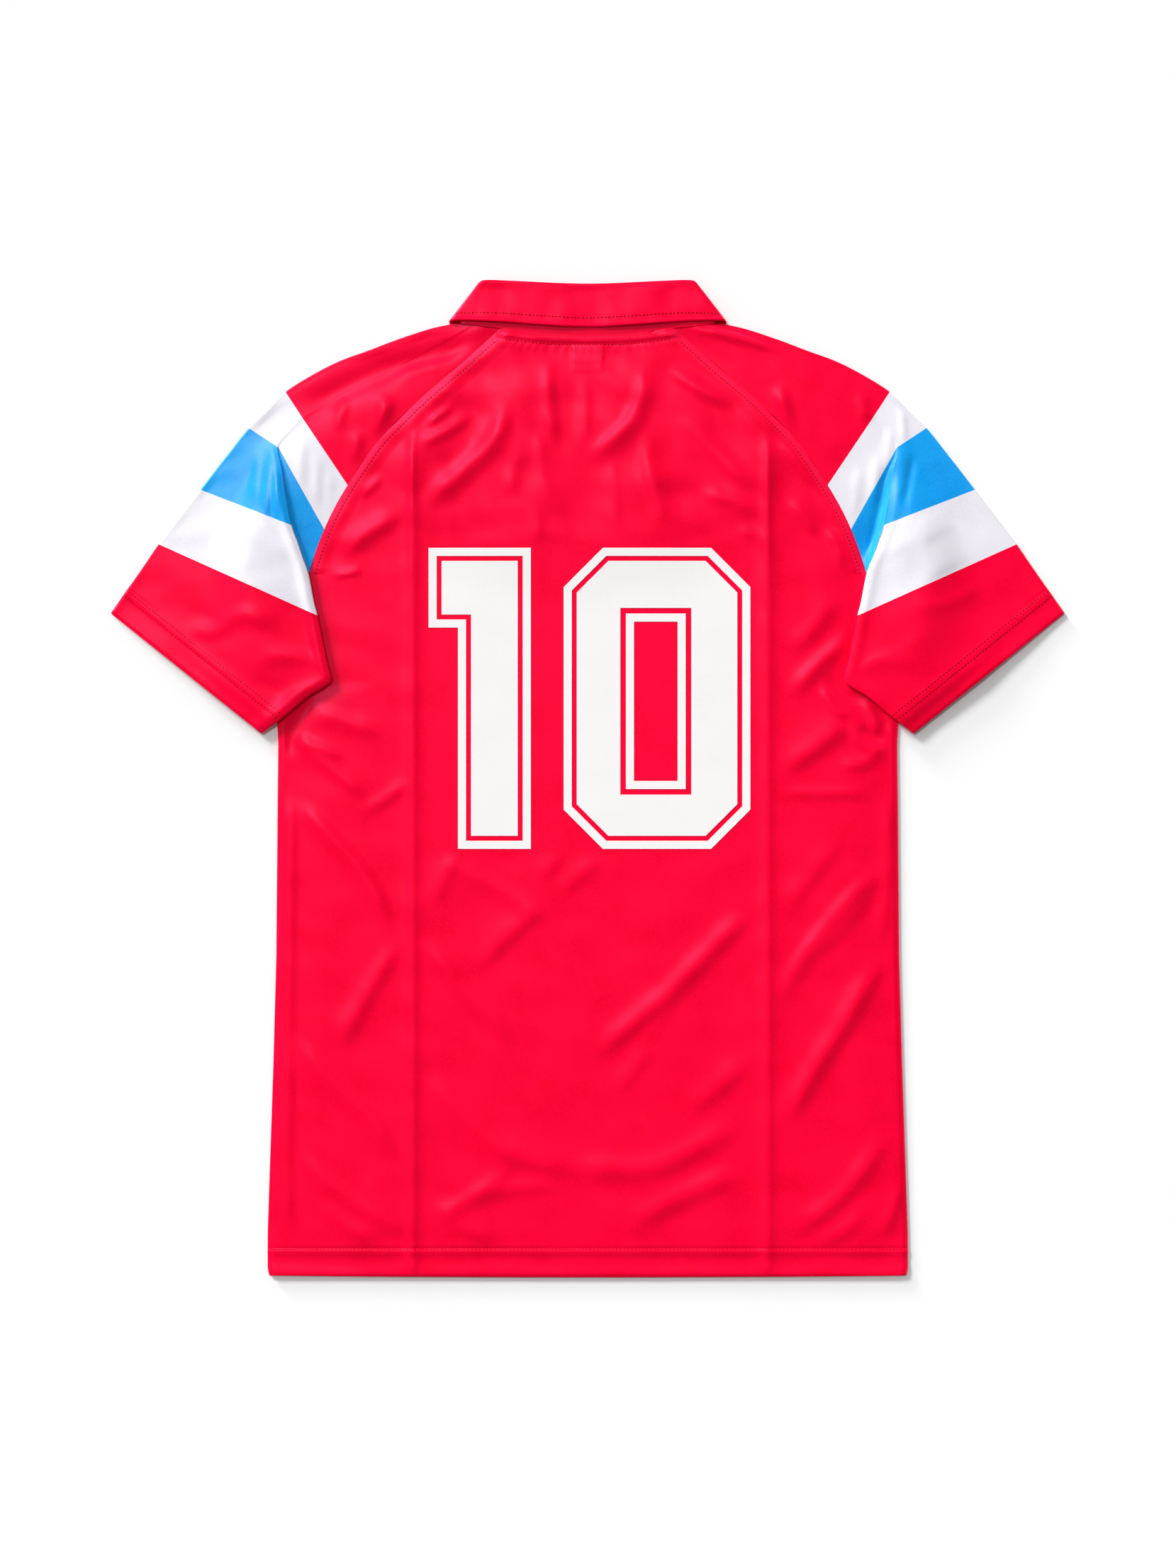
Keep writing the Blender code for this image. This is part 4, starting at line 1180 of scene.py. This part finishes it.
def film_shape(outline, hole=None):
    """A flat shape filled with small triangles, with or without a hole, laid on the back."""
    loops = [outline] + ([hole] if hole else [])

    def within(points):
        x, up = points[:, 0], points[:, 1]
        return inside(x, up, outline) & (~inside(x, up, hole) if hole else True)

    verts, edges = [], []
    for loop in loops:
        ring = []
        for a, b in zip(loop, loop[1:] + loop[:1]):
            parts = max(int(math.dist(a, b) / FILM_SPACING), 1)
            ring += [mix(a, b, k / parts) for k in range(parts)]
        first = len(verts)
        verts += ring
        edges += [(first + k, first + (k + 1) % len(ring)) for k in range(len(ring))]
    low, high = np.min(verts, axis=0), np.max(verts, axis=0)
    grid = np.meshgrid(*(np.arange(a, b, FILM_SPACING) for a, b in zip(low, high)))
    grid = np.column_stack([values.ravel() for values in grid])
    keep = within(grid)
    for loop in loops:
        across, _, _ = nearest(grid[:, 0], grid[:, 1], np.array(loop + loop[:1]))
        keep &= np.abs(across) > FILM_CLEAR
    verts += list(grid[keep])
    made, _, triangles, _, _, _ = delaunay_2d_cdt([tuple(v) for v in verts], edges, [], 0, 1e-4)
    plan = np.array([tuple(v) for v in made])
    wanted = within(plan[np.array(triangles)].mean(axis=1))
    points = np.column_stack([plan, back_height(plan[:, 0], plan[:, 1]) + WALL / 2 + FILM])
    return points, [tuple(t) for t, ok in zip(triangles, wanted) if ok]


def outlined(outline, hole=None):
    """A digit: its outline, a gap and its fill, and round a hole the same outwards."""
    fill = inset(outline, NUMBER_LINE + NUMBER_GAP)
    shapes = [film_shape(outline, inset(outline, NUMBER_LINE)), film_shape(fill, hole)]
    if hole:
        ring = inset(hole, HOLE_GAP)
        shapes.append(film_shape(ring, inset(ring, NUMBER_LINE)))
    return shapes


def make_digit(name, outline, hole=None):
    return make_piece(name, *joined(outlined(outline, hole)), [number_film], wall=FILM)


def make_number():
    low, high = NUMBER_FOOT, NUMBER_TOP
    left, right, stem, flag = ONE.values()
    one = [(stem, low), (right, low), (right, high), (left, high), (left, flag), (stem, flag)]
    a, b, c = ZERO.values()
    zero = [(a + c, low), (b - c, low), (b, low + c), (b, high - c)]
    zero += [(b - c, high), (a + c, high), (a, high - c), (a, low + c)]
    a, b, low, high = COUNTER
    counter = [(a, low), (b, low), (b, high), (a, high)]
    return [make_digit("digit_one", one), make_digit("digit_nought", zero, counter)]


# Camera, light and floor
PICTURE_MM = 0.56 * 2212  # the height of the picture
LENS = 85.0
SENSOR = 36.0
PICTURE_CENTRE = (0.3, -4.5)
FLOOR_WHITE = 0.91
FLOOR_HALF = 30.0  # in metres, so that a low view doesn't reach its edge
CEILING = 0.03
KEY_BEARING = 128.0  # where most of the light comes from, in degrees from the picture's right
SIDED = 0.75  # how much brighter than the middle the walls are on that side
FLOOR_LIGHT = math.pi / FLOOR_WHITE  # the light that makes the floor plain white


def make_camera():
    data = bpy.data.cameras.new("camera")
    data.lens, data.sensor_width, data.sensor_fit = LENS, SENSOR, "AUTO"
    data.clip_start, data.clip_end = 0.01, 30
    camera = place_object("camera", data)
    distance = PICTURE_MM * LENS / SENSOR
    camera.location = (PICTURE_CENTRE[0] * MM, PICTURE_CENTRE[1] * MM, distance * MM)
    bpy.context.scene.camera = camera


def make_sun(name, bearing, height, spread, share):
    """A wide soft light from one side. bearing is where it comes from, in degrees from the
    picture's right, height is its height above the floor, and share is its part of the
    light on the floor."""
    data = bpy.data.lights.new(name, "SUN")
    data.angle = math.radians(spread)
    data.energy = share * FLOOR_LIGHT / math.sin(math.radians(height))
    light = place_object(name, data)
    light.rotation_euler = (0, math.radians(90 - height), math.radians(bearing))


def make_floor():
    mesh = bpy.data.meshes.new("floor")
    corners = [(-1, -1), (1, -1), (1, 1), (-1, 1)]
    mesh.from_pydata([(x * FLOOR_HALF, y * FLOOR_HALF, 0) for x, y in corners], [], [range(4)])
    material, _, shader = shiny("floor_paper", 0.9, 0.0)
    shader.inputs["Base Color"].default_value = (FLOOR_WHITE, FLOOR_WHITE, FLOOR_WHITE, 1)
    mesh.materials.append(material)
    place_object("floor", mesh)


def make_world(share):
    """White walls all round below a dim ceiling, brighter on the side of the lamps."""
    world = bpy.data.worlds.new("studio")
    world.use_nodes = True
    tree = world.node_tree
    shade = tree.nodes["Background"]
    direction = node(tree, "ShaderNodeTexCoord").outputs["Generated"]
    rise = node(tree, "ShaderNodeSeparateXYZ", {"Vector": direction}).outputs["Z"]
    ramp = node(tree, "ShaderNodeValToRGB", {"Fac": rise})
    ramp.color_ramp.elements[0].color = (1, 1, 1, 1)
    ramp.color_ramp.elements[1].color = (CEILING, CEILING, CEILING, 1)
    ramp.color_ramp.elements[1].position = 0.9
    tree.links.new(ramp.outputs["Color"], shade.inputs["Color"])
    even = 0.27 + 0.73 * CEILING  # the light on the floor, against that of an even white
    strength = share * FLOOR_LIGHT / math.pi / even
    bearing = math.radians(KEY_BEARING)
    facing = node(
        tree,
        "ShaderNodeVectorMath",
        {0: direction, 1: (math.cos(bearing), math.sin(bearing), 0)},
        operation="DOT_PRODUCT",
    ).outputs["Value"]
    sided = node(
        tree,
        "ShaderNodeMath",
        {0: facing, 1: SIDED * strength, 2: strength},
        operation="MULTIPLY_ADD",
    )
    tree.links.new(sided.outputs[0], shade.inputs["Strength"])
    bpy.context.scene.world = world


back = make_back()
front = make_front()
sleeves = [
    make_sleeve("sleeve_cloth_left", -1, LEFT_SLEEVE_CREASES),
    make_sleeve("sleeve_cloth_right", 1, RIGHT_SLEEVE_CREASES),
]
collar_rows = collar_grid()
collar = make_collar(collar_rows)
label = make_label()
digits = make_number()
back_stitches = make_stitches("back_stitches", back_runs())
cuff_stitches = [
    make_stitches("cuff_stitches_left", cuff_runs(-1, sleeves[0])),
    make_stitches("cuff_stitches_right", cuff_runs(1, sleeves[1])),
]
leaf_stitches = make_stitches("leaf_stitches", [leaf_run(collar_rows, collar)])

make_camera()
make_sun("raking", bearing=128, height=9, spread=8, share=0.11)
make_sun("low_key", bearing=132, height=24, spread=14, share=0.37)
make_sun("high_key", bearing=125, height=68, spread=14, share=0.24)
make_world(0.29)
make_floor()
bpy.context.scene.view_settings.view_transform = "Standard"

for slot, pieces in (
    ("red_knit", [back, front]),
    ("banded_knit", sleeves),
    ("collar_knit", [collar]),
    ("label_cloth", [label]),
    ("number_film", digits),
    ("thread", [back_stitches, *cuff_stitches, leaf_stitches]),
):
    for piece in pieces:
        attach(piece, "root")
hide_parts("back")
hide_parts("front")
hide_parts("sleeve_left")
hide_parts("sleeve_right")
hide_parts("collar")
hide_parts("neck_label")
